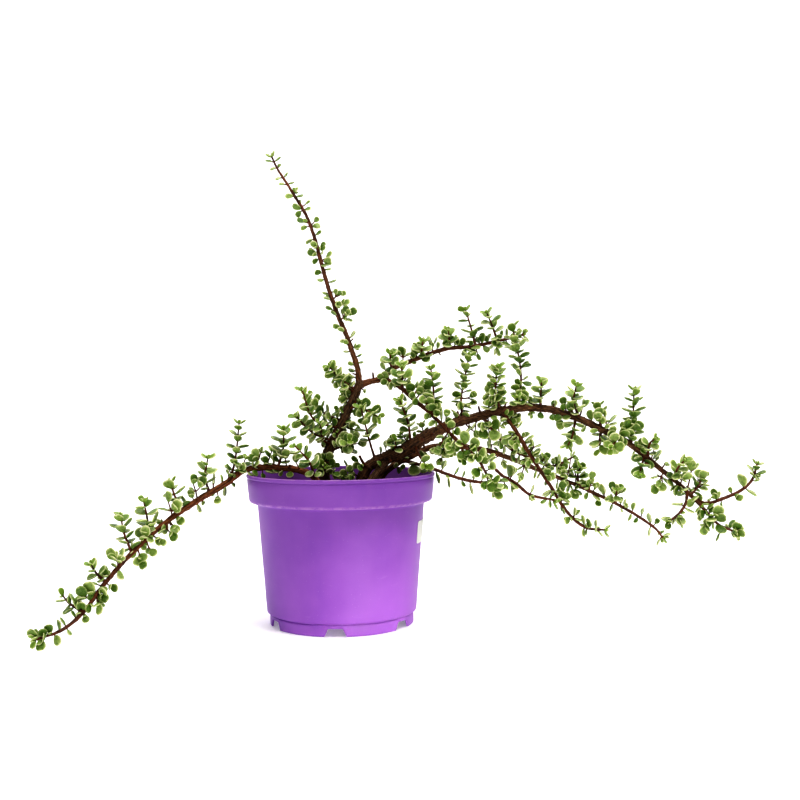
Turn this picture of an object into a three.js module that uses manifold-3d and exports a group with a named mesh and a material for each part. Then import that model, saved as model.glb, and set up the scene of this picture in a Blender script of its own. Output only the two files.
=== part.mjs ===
// A variegated elephant bush (Portulacaria afra) in the plastic nursery pot it grows in.
// Millimetres, +Z up. The origin is on the floor under the middle of the pot. The longest branch reaches
// out along +X, and -Y is the side that the pot's front drainage notch is on.
import * as THREE from "three";
import { mergeVertices } from "three/addons/utils/BufferGeometryUtils.js";
import Module from "manifold-3d";

const wasm = await Module();
wasm.setup();

// The clearance between neighbouring solids.
const GAP = 0.3;

// The pot is a thin moulded wall: a skirt with six drainage notches, a tapered wall and a wide rim band.
const POT = {
  height: 134.7,
  wall: 1.5,
  lipRadius: 85,
  lipWidth: 1.6,
  lipHeight: 3.2,
  lipRounding: 0.7,
  bandTopRadius: 84.5,
  bandBottomRadius: 82.7,
  bandBottom: 112.3,
  bandRounding: 2,
  shoulderRadius: 75.1,
  shoulder: 108.8,
  shoulderRise: 1,
  wallBottomRadius: 67.3,
  wallBottom: 12,
  skirtRadius: 64.7,
  skirtTop: 9.6,
  floorBottom: 7.4,
  floorThickness: 1.8,
  segments: 40,
};
const NOTCH = {
  count: 6, height: 6.8, topHalfAngle: 5.6, bottomHalfAngle: 8.5, turn: -2, reach: 4, below: 0.7,
};
const DRAIN = { count: 6, radius: 4.5, ring: 48, sides: 12 };
const CENTRE_FOOT = { radius: 11, topRadius: 12 };

// The potting mix's height at the pot's wall, at its crown and in the middle.
const MIX = { edge: 114, top: 117, middle: 118, crownShare: 0.6, segments: 20 };

// The blank paper sticker is wrapped on the wall, on the right-hand side.
const LABEL = { bottom: 73, top: 93, from: 69, to: 100, thickness: 0.4, gap: 0.1, cutMargin: 6 };

const MATERIALS = {
  pot: { color: 0x9650c8, roughness: 0.45 },
  mix: { color: 0x3d2c1f, roughness: 0.95 },
  label: { color: 0xf4f4f2, roughness: 0.7 },
  bark: { color: 0x4b3328, roughness: 0.85 },
  young: { color: 0x7a2f28, roughness: 0.6 },
  leaf: { color: 0x7fa24e, roughness: 0.45 },
};

// Woody stems, each listed after the stem that it grows from. A route point is x, y, z and the radius there.
// A route starts inside the stem that it grows from, or down in the potting mix.
// "pairs" are pairs of leaves of length "leaf", set straight on the stem from route point "leafy" to the tip.
const STEMS = [
  {
    name: "trunk_left",
    route: [
      [-17, 16, 92, 4.9], [-16, 15, 128, 5.1], [-13.6, 14, 149, 4.9], [-5, 13, 168, 4.3],
      [5, 12, 188, 3.9], [10.8, 11, 200, 3.8], [17, 10, 215, 3.9],
    ],
  },
  {
    name: "upright_leader", young: true, pairs: 11, leafy: 0.5, leaf: 9,
    route: [
      [17, 10, 215, 2.7], [15, 11, 230, 2.5], [6.5, 14, 256, 2.25], [-5.5, 18, 286, 2],
      [-15.5, 22, 318, 1.8], [-22.5, 25, 345, 1.7], [-31, 28, 370, 1.5], [-45.4, 31, 395, 1.3],
      [-58.5, 34, 416, 1.05], [-64.2, 35, 428, 0.8],
    ],
  },
  {
    name: "upper_branch", pairs: 4, leafy: 3, leaf: 9,
    route: [
      [16, 10, 213, 2.9], [27, 17, 217, 2.8], [38, 23, 220, 2.6], [50, 31, 230, 2.4],
      [70, 38, 238, 2.2], [96, 43, 247, 2], [124, 49, 250, 1.75], [148, 55, 255, 1.5],
      [173, 60, 261, 1.1],
    ],
  },
  {
    name: "crossing_branch", pairs: 5, leafy: 1, leaf: 10,
    route: [
      [38, 23, 220, 2.2], [52, 12, 213, 2.05], [67, -4, 200, 1.9], [84, -23, 185, 1.75],
      [99, -37, 169, 1.6], [112, -47, 157, 1.45], [121, -53, 148, 1.25], [127, -60, 137, 1],
    ],
  },
  {
    name: "trunk_right",
    route: [
      [5, 8, 92, 5], [14, 7, 118, 5], [25, 5, 139, 5], [42, 3, 147.5, 6.2], [54, 2, 152, 6.2],
      [75, 2, 164.5, 5.8], [100, 1, 177, 4.6], [128, 1, 185, 4], [156, 0, 191, 3.7],
      [184, 0, 191.3, 3.4], [210, -3, 184, 3.2], [235, -7, 172, 3], [258, -10, 160, 2.7],
      [282, -14, 140, 2.3], [303, -17, 122, 2], [320, -20, 105, 1.7],
    ],
  },
  {
    name: "root_stem",
    route: [
      [43, 3, 147, 3.3], [36.5, -2, 139, 3.7], [28.5, -8, 128, 3.9], [20, -12, 113, 3.8],
      [15, -14, 95, 3.6],
    ],
  },
  {
    name: "fork_lower", young: true, pairs: 4, leafy: 0.6, leaf: 11,
    route: [[320, -20, 105, 1.5], [326, -24, 97, 1.3], [334, -28, 88, 1.2], [348, -34, 82, 0.9]],
  },
  {
    name: "fork_upper", young: true, pairs: 5, leafy: 0.7, leaf: 10,
    route: [
      [314, -19, 111, 1.5], [326, -18, 106, 1.5], [343, -14, 110, 1.5], [361, -8, 117, 1.4],
      [372, -3, 126, 1.2], [377, 0, 139, 0.8],
    ],
  },
  {
    name: "fork_back", young: true, pairs: 3, leafy: 0.8, leaf: 10,
    route: [[309, -18, 117, 1.3], [306, -23, 107, 1.2], [299, -29, 99, 1.1], [288, -35, 92, 0.9]],
  },
  {
    name: "lower_branch", pairs: 7, leafy: 4.5, leaf: 10,
    route: [
      [28, 24, 95, 3.2], [36, 25, 127, 3.1], [47, 26, 138, 3], [64, 28, 147, 2.8], [87, 32, 156, 2.7],
      [115, 35, 155, 2.6], [145, 38, 148.5, 2.5], [178, 43, 135, 2.2], [210, 47, 122, 1.9],
      [243, 51, 107, 1.65], [270, 55, 93, 1.45], [296, 58, 76, 1.25], [306, 60, 65, 0.9],
    ],
  },
  {
    name: "drooping_branch", young: true, pairs: 5, leafy: 1.5, leaf: 10,
    route: [
      [145, 0, 189.5, 2], [156, -5, 175, 1.85], [166, -11, 157, 1.8], [176, -18, 140, 1.7],
      [187, -25, 122, 1.6], [198.5, -31, 102.6, 1.45], [213.5, -38, 88.5, 1.3], [230, -44, 86.5, 0.9],
    ],
  },
  {
    name: "inner_branch", young: true, pairs: 4, leafy: 1.5, leaf: 9,
    route: [
      [128, 1, 185, 1.6], [140, 5, 170, 1.5], [154, 7, 155, 1.4], [172, 9, 146, 1.3],
      [192, 10, 138, 1.1], [212, 10, 146, 0.8],
    ],
  },
  {
    name: "low_branch", young: true, pairs: 5, leafy: 2, leaf: 8,
    route: [
      [57, 27, 143, 1.6], [70, 8, 141, 1.6], [84, -14, 138, 1.5], [106, -18, 130, 1.45],
      [130, -24, 126.3, 1.4], [150, -29, 129, 1.4], [167, -33, 116.6, 1.3], [188, -40, 112, 0.9],
    ],
  },
  {
    name: "trailing_branch", pairs: 8, leafy: 5.6, leaf: 10.5,
    route: [
      [-6, -38, 95, 2.8], [-19, -35, 130, 2.8], [-35, -30, 139, 2.8], [-58, -23, 141, 2.8],
      [-84, -16, 139, 2.8], [-99.7, -24, 128, 2.8], [-127.7, -44, 111, 2.6], [-150, -61, 94.5, 2.3],
      [-170, -79, 75, 2], [-187, -97, 54, 1.8], [-200.4, -114, 33.2, 1.55], [-213.3, -127, 22.2, 1.35],
      [-230, -140, 17.5, 0.9],
    ],
  },
];

// Leafy side shoots: name, the stem that it grows from, the place on that stem counted in route points, the
// first leaf pair's turn round the shoot in degrees, and two points on the way to its tip.
const SHOOTS = [
  ["shoot_trailing_1", "trailing_branch", 4.9, 0, [-93, -17, 148], [-90, -12, 180]],
  ["shoot_trailing_2", "trailing_branch", 5.5, 20, [-116, -37, 134], [-113, -42, 151]],
  ["shoot_trailing_3", "trailing_branch", 6.3, 0, [-142, -46, 122], [-145, -42, 130]],
  ["shoot_trailing_4", "trailing_branch", 7.45, 30, [-159, -70, 102], [-161, -74, 117]],
  ["shoot_trailing_5", "trailing_branch", 8, 10, [-178, -74, 92], [-181, -70, 105]],
  ["shoot_trailing_6", "trailing_branch", 9, 0, [-194, -101, 63], [-196, -106, 70]],
  ["shoot_trailing_7", "trailing_branch", 10, 40, [-213, -110, 40], [-219, -106, 45]],
  ["shoot_left_rim", "trailing_branch", 2.85, 0, [-49, -29, 158], [-48, -32, 175]],
  ["shoot_left_inner", "trailing_branch", 1.1, 30, [-25, -46, 148], [-36, -50, 161]],
  ["shoot_left_mid", "trunk_left", 2.7, 15, [-26, 3, 171], [-39, -12, 186]],
  ["shoot_left_bushy", "trunk_left", 2.5, 45, [-16, 0, 165], [-18, -8, 179]],
  ["shoot_left_high", "trunk_left", 3.6, 0, [-16, 19, 188], [-31, 32, 203]],
  ["shoot_left_front", "trunk_left", 3.3, 25, [-24, -2, 183], [-33, -16, 209]],
  ["shoot_left_top", "trunk_left", 5.6, 35, [0, 4, 219], [-9, -4, 230]],
  ["shoot_centre_low", "trunk_right", 2.4, 0, [26, -3, 164], [19, -10, 193]],
  ["shoot_centre_mid", "trunk_left", 4.3, 20, [17, 0, 194], [34, -8, 185]],
  ["shoot_centre_front", "trunk_left", 2.2, 45, [3, 2, 159], [8, -10, 164]],
  ["shoot_upper_1", "upper_branch", 2.8, 20, [45, 20, 236], [46, 14, 242]],
  ["shoot_upper_2", "upper_branch", 4.2, 0, [75, 30, 249], [76, 27, 254]],
  ["shoot_upper_3", "upper_branch", 5.2, 30, [101, 39, 256], [100, 34, 264]],
  ["shoot_upper_4", "upper_branch", 6.1, 0, [122, 56, 270], [118, 60, 285]],
  ["shoot_upper_5", "upper_branch", 7, 15, [142, 49, 270], [137, 44, 281]],
  ["shoot_crossing_1", "crossing_branch", 1.3, 0, [56, 0, 221], [56, -8, 230]],
  ["shoot_crossing_2", "crossing_branch", 2.9, 35, [84, -15, 207], [82, -10, 227]],
  ["shoot_right_1", "trunk_right", 4.5, 0, [61, -5, 180], [54, -13, 199]],
  ["shoot_right_2", "trunk_right", 6.4, 10, [110, 6, 202], [118, 16, 240]],
  ["shoot_right_3", "trunk_right", 7.6, 0, [140, -7, 209], [141, -14, 228]],
  ["shoot_right_4", "trunk_right", 8.2, 20, [165, 12, 225], [159, 24, 267]],
  ["shoot_right_5", "trunk_right", 8.9, 30, [181, -5, 204], [181, -10, 215]],
  ["shoot_right_6", "trunk_right", 10.2, 45, [210, -10, 199], [211, -16, 211]],
  ["shoot_right_7", "trunk_right", 11, 20, [234, 2, 187], [234, 6, 193]],
  ["shoot_right_8", "trunk_right", 12.1, 0, [264, -4, 181], [267, 4, 207]],
  ["shoot_right_9", "trunk_right", 12.7, 30, [275, -20, 159], [279, -25, 164]],
  ["shoot_right_10", "trunk_right", 13.8, 10, [298, -24, 136], [303, -30, 145]],
  ["shoot_right_11", "trunk_right", 14.5, 40, [321, -11, 123], [326, -6, 130]],
  ["shoot_hanging_1", "trunk_right", 10.1, 0, [209, -8, 168], [204, -12, 158]],
  ["shoot_hanging_2", "trunk_right", 11, 20, [234, -3, 161], [236, 1, 154]],
  ["shoot_hanging_3", "trunk_right", 12.6, 0, [269, -17, 141], [266, -22, 135]],
  ["shoot_front_right", "trunk_right", 11.6, 45, [245, -18, 161], [240, -27, 157]],
  ["shoot_rim_right", "trunk_right", 4.65, 40, [71, -17, 150], [76, -29, 143]],
  ["shoot_lower_1", "lower_branch", 8.4, 20, [222, 44, 128], [224, 41, 134]],
  ["shoot_lower_2", "lower_branch", 9.6, 0, [259, 47, 107], [259, 44, 112]],
];
const SHOOT = { baseRadius: 1.2, tipRadius: 0.7, leaf: 10, leafSpacing: 11.5, firstLeaf: 3 };

// A leaf is a fleshy lens, broadest beyond its middle. Sizes are shares of its length.
// "root" is how far, in mm, its narrow end goes past the middle of the stem. "broadening" under 1 moves the
// broadest place towards the tip. A stem's end pair is smaller and stands up more.
const LEAF = {
  width: 0.7, thickness: 0.18, broadening: 0.7, root: 0.5, rise: 32, tipRise: 58, tipSize: 0.8,
};

const RAD = Math.PI / 180;

// A closed geometry as a solid, and a solid as a geometry.
function solidOf(geometry) {
  const bare = geometry.clone();
  bare.deleteAttribute("normal");
  bare.deleteAttribute("uv");
  const merged = mergeVertices(bare, 1e-4);
  return new wasm.Manifold(
    new wasm.Mesh({
      numProp: 3,
      vertProperties: merged.attributes.position.array,
      triVerts: new Uint32Array(merged.index.array),
    }),
  );
}

function geometryOf(solid) {
  const mesh = solid.getMesh();
  const geometry = new THREE.BufferGeometry();
  geometry.setAttribute("position", new THREE.BufferAttribute(mesh.vertProperties, mesh.numProp));
  geometry.setIndex(new THREE.BufferAttribute(mesh.triVerts, 1));
  const flat = geometry.toNonIndexed();
  flat.computeVertexNormals();
  return flat;
}

function largestOf(solid) {
  return solid.decompose().reduce((a, b) => (a.volume() > b.volume() ? a : b));
}

// A profile of (radius, height) points turned round the pot's axis.
function turned(profile, segments) {
  const points = profile.map(([r, z]) => new THREE.Vector2(r, z));
  return solidOf(new THREE.LatheGeometry(points, segments).rotateX(Math.PI / 2));
}

// The space between two angles round the pot's axis, measured from -Y towards +X, as a wedge from z0 to z1.
// It narrows from bottomHalf to topHalf degrees either side of its middle.
function wedge(middle, bottomHalf, topHalf, z0, z1, inner, outer) {
  const corner = (half, r) => [r * Math.sin(half * RAD), -r * Math.cos(half * RAD)];
  const hull = [];
  for (const [half, z] of [[bottomHalf, z0], [topHalf, z1]])
    for (const [side, r] of [[-1, inner], [1, inner], [1, outer], [-1, outer]])
      hull.push([...corner(side * half, r), z]);
  const geometry = new THREE.BufferGeometry();
  geometry.setAttribute("position", new THREE.Float32BufferAttribute(hull.flat(), 3));
  geometry.setIndex([
    0, 2, 3, 0, 1, 2, 4, 6, 5, 4, 7, 6, 0, 5, 1, 0, 4, 5,
    1, 6, 2, 1, 5, 6, 2, 7, 3, 2, 6, 7, 3, 4, 0, 3, 7, 4,
  ]);
  return solidOf(geometry.rotateZ(middle * RAD));
}

// The curve through a route's points, and the radius along it, both over u = 0 to 1.
function pathOf(route) {
  const points = route.map(([x, y, z]) => new THREE.Vector3(x, y, z));
  const radii = route.map(([, , , r]) => new THREE.Vector3(r, 0, 0));
  const centre = new THREE.CatmullRomCurve3(points, false, "catmullrom", 0.5);
  const radius = new THREE.CatmullRomCurve3(radii, false, "catmullrom", 0.5);
  return {
    spans: route.length - 1,
    pointAt: (u) => centre.getPoint(u),
    tangentAt: (u) => centre.getTangent(u),
    radiusAt: (u) => radius.getPoint(u).x,
    length: centre.getLength(),
  };
}

// Two directions square to a tangent: the first lies in the X-Z plane, the second points along +-Y.
function squareTo(tangent) {
  const across = new THREE.Vector3().crossVectors(tangent, new THREE.Vector3(0, 1, 0));
  if (across.length() < 0.05) across.set(1, 0, 0);
  across.normalize();
  const depth = new THREE.Vector3().crossVectors(across, tangent).normalize();
  return { across, depth };
}

// A round stem along a path: a cylinder whose rings are moved onto the path and turned square to it.
// "grow" makes it thicker and longer by that much all round.
function stemSolid(path, sides, ringsPerSpan, grow = 0) {
  const rings = Math.round(path.spans * ringsPerSpan);
  const geometry = new THREE.CylinderGeometry(1, 1, 1, sides, rings);
  const place = geometry.attributes.position;
  for (let i = 0; i < place.count; i++) {
    const u = THREE.MathUtils.clamp(place.getY(i) + 0.5, 0, 1);
    const tangent = path.tangentAt(u);
    const { across, depth } = squareTo(tangent);
    const radius = path.radiusAt(u) + grow;
    const end = u < 1e-6 ? -grow : u > 1 - 1e-6 ? grow : 0;
    const point = path
      .pointAt(u)
      .addScaledVector(tangent, end)
      .addScaledVector(across, place.getX(i) * radius)
      .addScaledVector(depth, place.getZ(i) * radius);
    place.setXYZ(i, point.x, point.y, point.z);
  }
  return solidOf(geometry);
}

// One leaf of unit length along +X from the origin, in the X-Z plane, as a five-sided lens.
const unitLeaf = new THREE.SphereGeometry(1, 5, 2);
{
  const place = unitLeaf.attributes.position;
  for (let i = 0; i < place.count; i++) {
    const along = Math.pow(Math.max(0, (place.getX(i) + 1) / 2), LEAF.broadening);
    place.setXYZ(i, along, (place.getY(i) * LEAF.thickness) / 2, (place.getZ(i) * LEAF.width) / 2);
  }
}

// A leaf at a point of a stem: it leaves in the direction "out", raised towards the stem's tip.
function leafSolid(point, tangent, out, length, rise) {
  const [cos, sin] = [Math.cos(rise * RAD), Math.sin(rise * RAD)];
  const along = out.clone().multiplyScalar(cos).addScaledVector(tangent, sin);
  const face = tangent.clone().multiplyScalar(cos).addScaledVector(out, -sin);
  const side = new THREE.Vector3().crossVectors(along, face);
  const start = point.clone().addScaledVector(along, -LEAF.root);
  const matrix = new THREE.Matrix4().makeBasis(along, face, side).setPosition(start);
  return solidOf(unitLeaf.clone().scale(length, length, length).applyMatrix4(matrix));
}

// Opposite leaf pairs, each turned a quarter turn from the last, from u = first to u = 1.
function leafPairs(path, count, first, length, turn) {
  const leaves = [];
  for (let k = 0; k < count; k++) {
    const u = count > 1 ? first + ((1 - first) * k) / (count - 1) : 1;
    const point = path.pointAt(u);
    const tangent = path.tangentAt(u);
    const { across, depth } = squareTo(tangent);
    const atTip = k === count - 1;
    const size = length * (atTip ? LEAF.tipSize : 1);
    const rise = atTip ? LEAF.tipRise : LEAF.rise;
    for (const degrees of [turn + 90 * k, turn + 90 * k + 180]) {
      const [cos, sin] = [Math.cos(degrees * RAD), Math.sin(degrees * RAD)];
      const out = across.clone().multiplyScalar(cos).addScaledVector(depth, sin);
      leaves.push(leafSolid(point, tangent, out, size, rise));
    }
  }
  return leaves;
}

function boxesMeet(a, b, margin) {
  const p = a.boundingBox();
  const q = b.boundingBox();
  return [0, 1, 2].every((k) => p.min[k] - margin <= q.max[k] && q.min[k] - margin <= p.max[k]);
}

// Every piece of the plant, by name: its path, its wood, its leaves and the same wood grown by the gap.
const plant = new Map();

// New wood is cut back where it meets the wood that is there already, so that it ends a gap away from it.
function addWood({ name, route, sides, ringsPerSpan, slot, leaves }) {
  const path = pathOf(route);
  let wood = stemSolid(path, sides, ringsPerSpan);
  for (const other of plant.values())
    if (boxesMeet(wood, other.skin, 0)) wood = wood.subtract(other.skin);
  const skin = stemSolid(path, sides, ringsPerSpan, GAP);
  plant.set(name, { path, wood: largestOf(wood), skin, slot, leaves: leaves(path) });
}

for (const { name, route, young, pairs = 0, leafy = 0, leaf } of STEMS)
  addWood({
    name,
    route,
    sides: young ? 5 : 7,
    ringsPerSpan: 1.5,
    slot: young ? "young" : "bark",
    leaves: (path) => leafPairs(path, pairs, leafy / path.spans, leaf, 0),
  });

for (const [name, on, at, turn, ...to] of SHOOTS) {
  const parent = plant.get(on).path;
  const u = at / parent.spans;
  const radii = [SHOOT.baseRadius, (SHOOT.baseRadius + SHOOT.tipRadius) / 2, SHOOT.tipRadius];
  addWood({
    name,
    route: [parent.pointAt(u).toArray(), ...to].map((point, k) => [...point, radii[k]]),
    sides: 5,
    ringsPerSpan: 1.5,
    slot: "leaf",
    leaves: (path) => {
      const clear = (parent.radiusAt(u) + SHOOT.firstLeaf) / path.length;
      const count = Math.max(2, Math.round((path.length * (1 - clear)) / SHOOT.leafSpacing));
      return leafPairs(path, count, clear, SHOOT.leaf, turn);
    },
  });
}

// The pot: one profile of the whole wall, with the drainage notches and holes cut out.
const potWall = turned(
  [
    [0, 0],
    [CENTRE_FOOT.radius, 0],
    [CENTRE_FOOT.topRadius, POT.floorBottom],
    [POT.skirtRadius - POT.wall, POT.floorBottom],
    [POT.skirtRadius - POT.wall, 0],
    [POT.skirtRadius, 0],
    [POT.skirtRadius, POT.skirtTop],
    [POT.wallBottomRadius, POT.wallBottom],
    [POT.shoulderRadius, POT.shoulder],
    [POT.bandBottomRadius - POT.bandRounding, POT.shoulder + POT.shoulderRise],
    [POT.bandBottomRadius, POT.bandBottom],
    [POT.bandTopRadius, POT.height - POT.lipHeight],
    [POT.lipRadius, POT.height - POT.lipHeight + POT.lipRounding],
    [POT.lipRadius, POT.height - POT.lipRounding],
    [POT.lipRadius - POT.lipRounding, POT.height],
    [POT.lipRadius - POT.lipWidth, POT.height],
    [POT.bandTopRadius - POT.wall, POT.height - POT.lipHeight],
    [POT.bandBottomRadius - POT.wall, POT.bandBottom + POT.shoulderRise],
    [POT.bandBottomRadius - POT.bandRounding - POT.wall, POT.shoulder + POT.shoulderRise + POT.wall],
    [POT.shoulderRadius - POT.wall, POT.shoulder + POT.wall],
    [POT.wallBottomRadius - POT.wall, POT.wallBottom],
    [POT.skirtRadius - POT.wall, POT.floorBottom + POT.floorThickness],
    [0, POT.floorBottom + POT.floorThickness],
  ],
  POT.segments,
);
const aroundPot = (count, turn = 0) => Array.from({ length: count }, (_, k) => turn + (360 / count) * k);
const notches = aroundPot(NOTCH.count, NOTCH.turn).map((angle) =>
  wedge(
    angle, NOTCH.bottomHalfAngle, NOTCH.topHalfAngle, -NOTCH.below, NOTCH.height,
    POT.skirtRadius - NOTCH.reach, POT.skirtRadius + NOTCH.reach,
  ),
);
const drains = aroundPot(DRAIN.count).map((angle) => {
  const hole = new THREE.CylinderGeometry(DRAIN.radius, DRAIN.radius, POT.floorThickness * 4, DRAIN.sides);
  return solidOf(hole.rotateX(Math.PI / 2).translate(0, -DRAIN.ring, POT.floorBottom).rotateZ(angle * RAD));
});
const pot = [...notches, ...drains].reduce((solid, hole) => solid.subtract(hole), potWall);

// The potting mix fills the pot to below the rim, and each rooted stem stands in a socket in it.
const inside = POT.wall + GAP;
const mixFill = turned(
  [
    [0, POT.floorBottom + POT.floorThickness + GAP],
    [POT.skirtRadius - inside - GAP, POT.floorBottom + POT.floorThickness + GAP],
    [POT.wallBottomRadius - inside, POT.wallBottom + GAP],
    [POT.shoulderRadius - inside, POT.shoulder + inside],
    [POT.bandBottomRadius - POT.bandRounding - inside, POT.shoulder + POT.shoulderRise + inside],
    [POT.bandBottomRadius - inside, POT.bandBottom + POT.shoulderRise + GAP],
    [POT.bandBottomRadius - inside, MIX.edge],
    [POT.bandBottomRadius * MIX.crownShare, MIX.top],
    [0, MIX.middle],
  ],
  MIX.segments,
);
const rooted = [...plant.values()].filter(({ skin }) => boxesMeet(skin, mixFill, 0));
const mix = rooted.reduce((solid, { skin }) => solid.subtract(skin), mixFill);

// The label: a thin ring on the tapered wall, cut to its width.
const wallRadiusAt = (z) =>
  THREE.MathUtils.mapLinear(z, POT.wallBottom, POT.shoulder, POT.wallBottomRadius, POT.shoulderRadius);
const labelInner = (z) => wallRadiusAt(z) + LABEL.gap;
const labelHalf = (LABEL.to - LABEL.from) / 2;
const label = turned(
  [
    [labelInner(LABEL.bottom), LABEL.bottom],
    [labelInner(LABEL.bottom) + LABEL.thickness, LABEL.bottom],
    [labelInner(LABEL.top) + LABEL.thickness, LABEL.top],
    [labelInner(LABEL.top), LABEL.top],
    [labelInner(LABEL.bottom), LABEL.bottom],
  ],
  POT.segments,
).intersect(
  wedge(
    LABEL.from + labelHalf, labelHalf, labelHalf, LABEL.bottom - 1, LABEL.top + 1,
    POT.wallBottomRadius - LABEL.cutMargin, POT.shoulderRadius + LABEL.cutMargin,
  ),
);

// Leaves join their own wood. A leaf that would come within the gap of another piece is left off.
const finished = new Map([...plant].map(([name, piece]) => [name, piece.wood]));
for (const [name, { wood, leaves }] of plant) {
  const otherWood = [...finished].filter(([other]) => other !== name).map(([, solid]) => solid);
  const neighbours = [pot, mix, label, ...otherWood];
  const kept = leaves.filter((leaf) =>
    neighbours.every((solid) => !boxesMeet(leaf, solid, GAP) || leaf.minGap(solid, GAP * 2) >= GAP),
  );
  finished.set(name, largestOf(kept.reduce((solid, leaf) => solid.add(leaf), wood)));
}

function meshOf(name, solid, slot) {
  const material = new THREE.MeshStandardMaterial({ ...MATERIALS[slot], metalness: 0 });
  const mesh = new THREE.Mesh(geometryOf(solid), material);
  mesh.name = name;
  return mesh;
}

const elephantBush = new THREE.Group();
elephantBush.add(meshOf("pot", pot, "pot"));
elephantBush.add(meshOf("potting_mix", mix, "mix"));
elephantBush.add(meshOf("label", label, "label"));
for (const [name, solid] of finished) elephantBush.add(meshOf(name, solid, plant.get(name).slot));

export default elephantBush;
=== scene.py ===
"""A variegated elephant bush (Portulacaria afra) in the purple plastic nursery pot that it grows in.

The tables are in millimetres, as on a drawing, and MM turns them into metres. The origin is on the floor
under the middle of the pot, +Z is up, the long branches reach out along +X, and -Y is the side with the
pot's front notch.
"""

import math

import bpy
import numpy as np
from mathutils import Matrix, Vector


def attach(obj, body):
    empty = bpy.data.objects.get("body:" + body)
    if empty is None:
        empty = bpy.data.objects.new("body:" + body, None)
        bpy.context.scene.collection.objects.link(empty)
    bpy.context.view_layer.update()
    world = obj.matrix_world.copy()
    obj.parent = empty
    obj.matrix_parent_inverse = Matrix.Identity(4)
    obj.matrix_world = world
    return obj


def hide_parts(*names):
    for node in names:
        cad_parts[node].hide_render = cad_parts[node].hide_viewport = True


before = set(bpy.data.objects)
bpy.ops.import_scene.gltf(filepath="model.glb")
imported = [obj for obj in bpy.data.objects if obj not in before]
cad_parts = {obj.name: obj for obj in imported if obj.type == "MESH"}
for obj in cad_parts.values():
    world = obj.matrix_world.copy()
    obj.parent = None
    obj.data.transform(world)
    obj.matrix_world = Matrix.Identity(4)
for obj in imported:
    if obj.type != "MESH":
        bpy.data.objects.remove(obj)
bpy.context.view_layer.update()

MM = 0.001
TURN = 2 * math.pi

# ---------------------------------------------------------------------------------------------------------
# Measures of the pot, the potting mix and the label, in mm
# ---------------------------------------------------------------------------------------------------------

# The pot. Its heights are above the ground, and POT_FLOOR is the height of its floor's underside.
POT_WALL = 1.5
POT_SKIRT_RADIUS = 64.7
POT_SKIRT_TOP = 9.5
POT_SKIRT_BEVEL = 0.35
POT_FLOOR = 7.4
POT_FLOOR_THICKNESS = 1.8
# The outside of the wall above the skirt, as (radius, height) pairs from the groove up to the lip's top.
POT_OUTSIDE = [
    (64.7, 9.5), (63.9, 9.7), (63.9, 10.1), (64.6, 10.5), (66.6, 11.1), (67.2, 11.6), (67.4, 12.4),
    (67.8, 17), (68.7, 28), (69.6, 40), (70.8, 54), (72.0, 69), (73.1, 83), (74.1, 95), (75.0, 106.3),
    (75.1, 108.0), (75.6, 108.7), (76.7, 109.0), (79.8, 109.4), (81.3, 109.9), (82.3, 110.9),
    (82.7, 112.4), (83.0, 115.5), (83.5, 120), (84.0, 125), (84.3, 129.9), (84.0, 130.6), (83.7, 131.1),
    (83.9, 131.5), (84.7, 131.8), (85.0, 132.4), (85.0, 133.7), (84.8, 134.3), (84.3, 134.6),
    (83.9, 134.7),
]
# Its inside, from the lip's top down to the floor.
POT_INSIDE = [
    (83.6, 134.6), (83.3, 134.3), (83.0, 133.2), (82.9, 130.5), (82.2, 121), (81.4, 114.3), (80.7, 112.2),
    (79.5, 111.2), (75.5, 110.5), (74.1, 109.8), (73.5, 107.8), (71.4, 80), (69.2, 54), (67.2, 28),
    (66.0, 13), (64.4, 10.8), (63.2, 9.2),
]
# How rubbed pale the outside is at heights up the wall: at the band's lower corner and at the lip's top.
WORN_HEIGHTS = [108.9, 109.5, 110.4, 111.4, 134.0, 134.5, 135]
WORN_SHARES = [0, 0.3, 0.6, 0, 0, 0.5, 0.5]
# Notches in the skirt's lower edge. Angles round the pot are in degrees, from -Y towards +X.
NOTCHES = 6
NOTCH_TURN = -2
NOTCH_HEIGHT = 6.8
NOTCH_TOP_HALF_ANGLE = 5.6
NOTCH_BOTTOM_HALF_ANGLE = 8.5
NOTCH_ROUNDING = 0.16
# Drainage holes on a ring in the floor, and the flat foot in its middle as (radius, height) pairs from axis
# to axis. The floor's sectors end inside the foot.
DRAINS = 6
DRAIN_RING = 48
DRAIN_RADIUS = 4.5
DRAIN_BEVEL = 0.4
FLOOR_INNER_RADIUS = 11.0
FOOT_PROFILE = [(0, 8.4), (12.0, 8.4), (12.0, 7.4), (11.6, 3.0), (11.2, 0.6), (10.6, 0.0), (0.0, 0.0)]

# The potting mix: the heights of its surface, its side below the edge as (radius, height) pairs, the lengths
# of the ripples on its surface, and the number of loose crumbs.
MIX_EDGE = 114
MIX_CROWN = 117.2
MIX_RADIUS = 80.6
MIX_BOTTOM = 9.6
MIX_SIDE = [
    (80.2, 113.2), (78.6, 111.8), (75.2, 110.9), (73.1, 109.2), (71.2, 82), (69.0, 55), (67.0, 29),
    (65.8, 14), (64.1, 11.3), (62.8, MIX_BOTTOM),
]
MIX_RIPPLES = (61, 44, 31, 23, 17, 12.5, 9.1, 6.7, 5.2)
CRUMBS = 900

# The label: its heights, its angles round the pot, and how far its front and back stand off the wall.
LABEL_BOTTOM = 73
LABEL_TOP = 93
LABEL_FROM = 69
LABEL_TO = 100
LABEL_CORNER = 2
LABEL_FRONT = 0.48
LABEL_BACK = 0.12

# ---------------------------------------------------------------------------------------------------------
# The plant: where its stems run and what grows on them
# ---------------------------------------------------------------------------------------------------------

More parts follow.
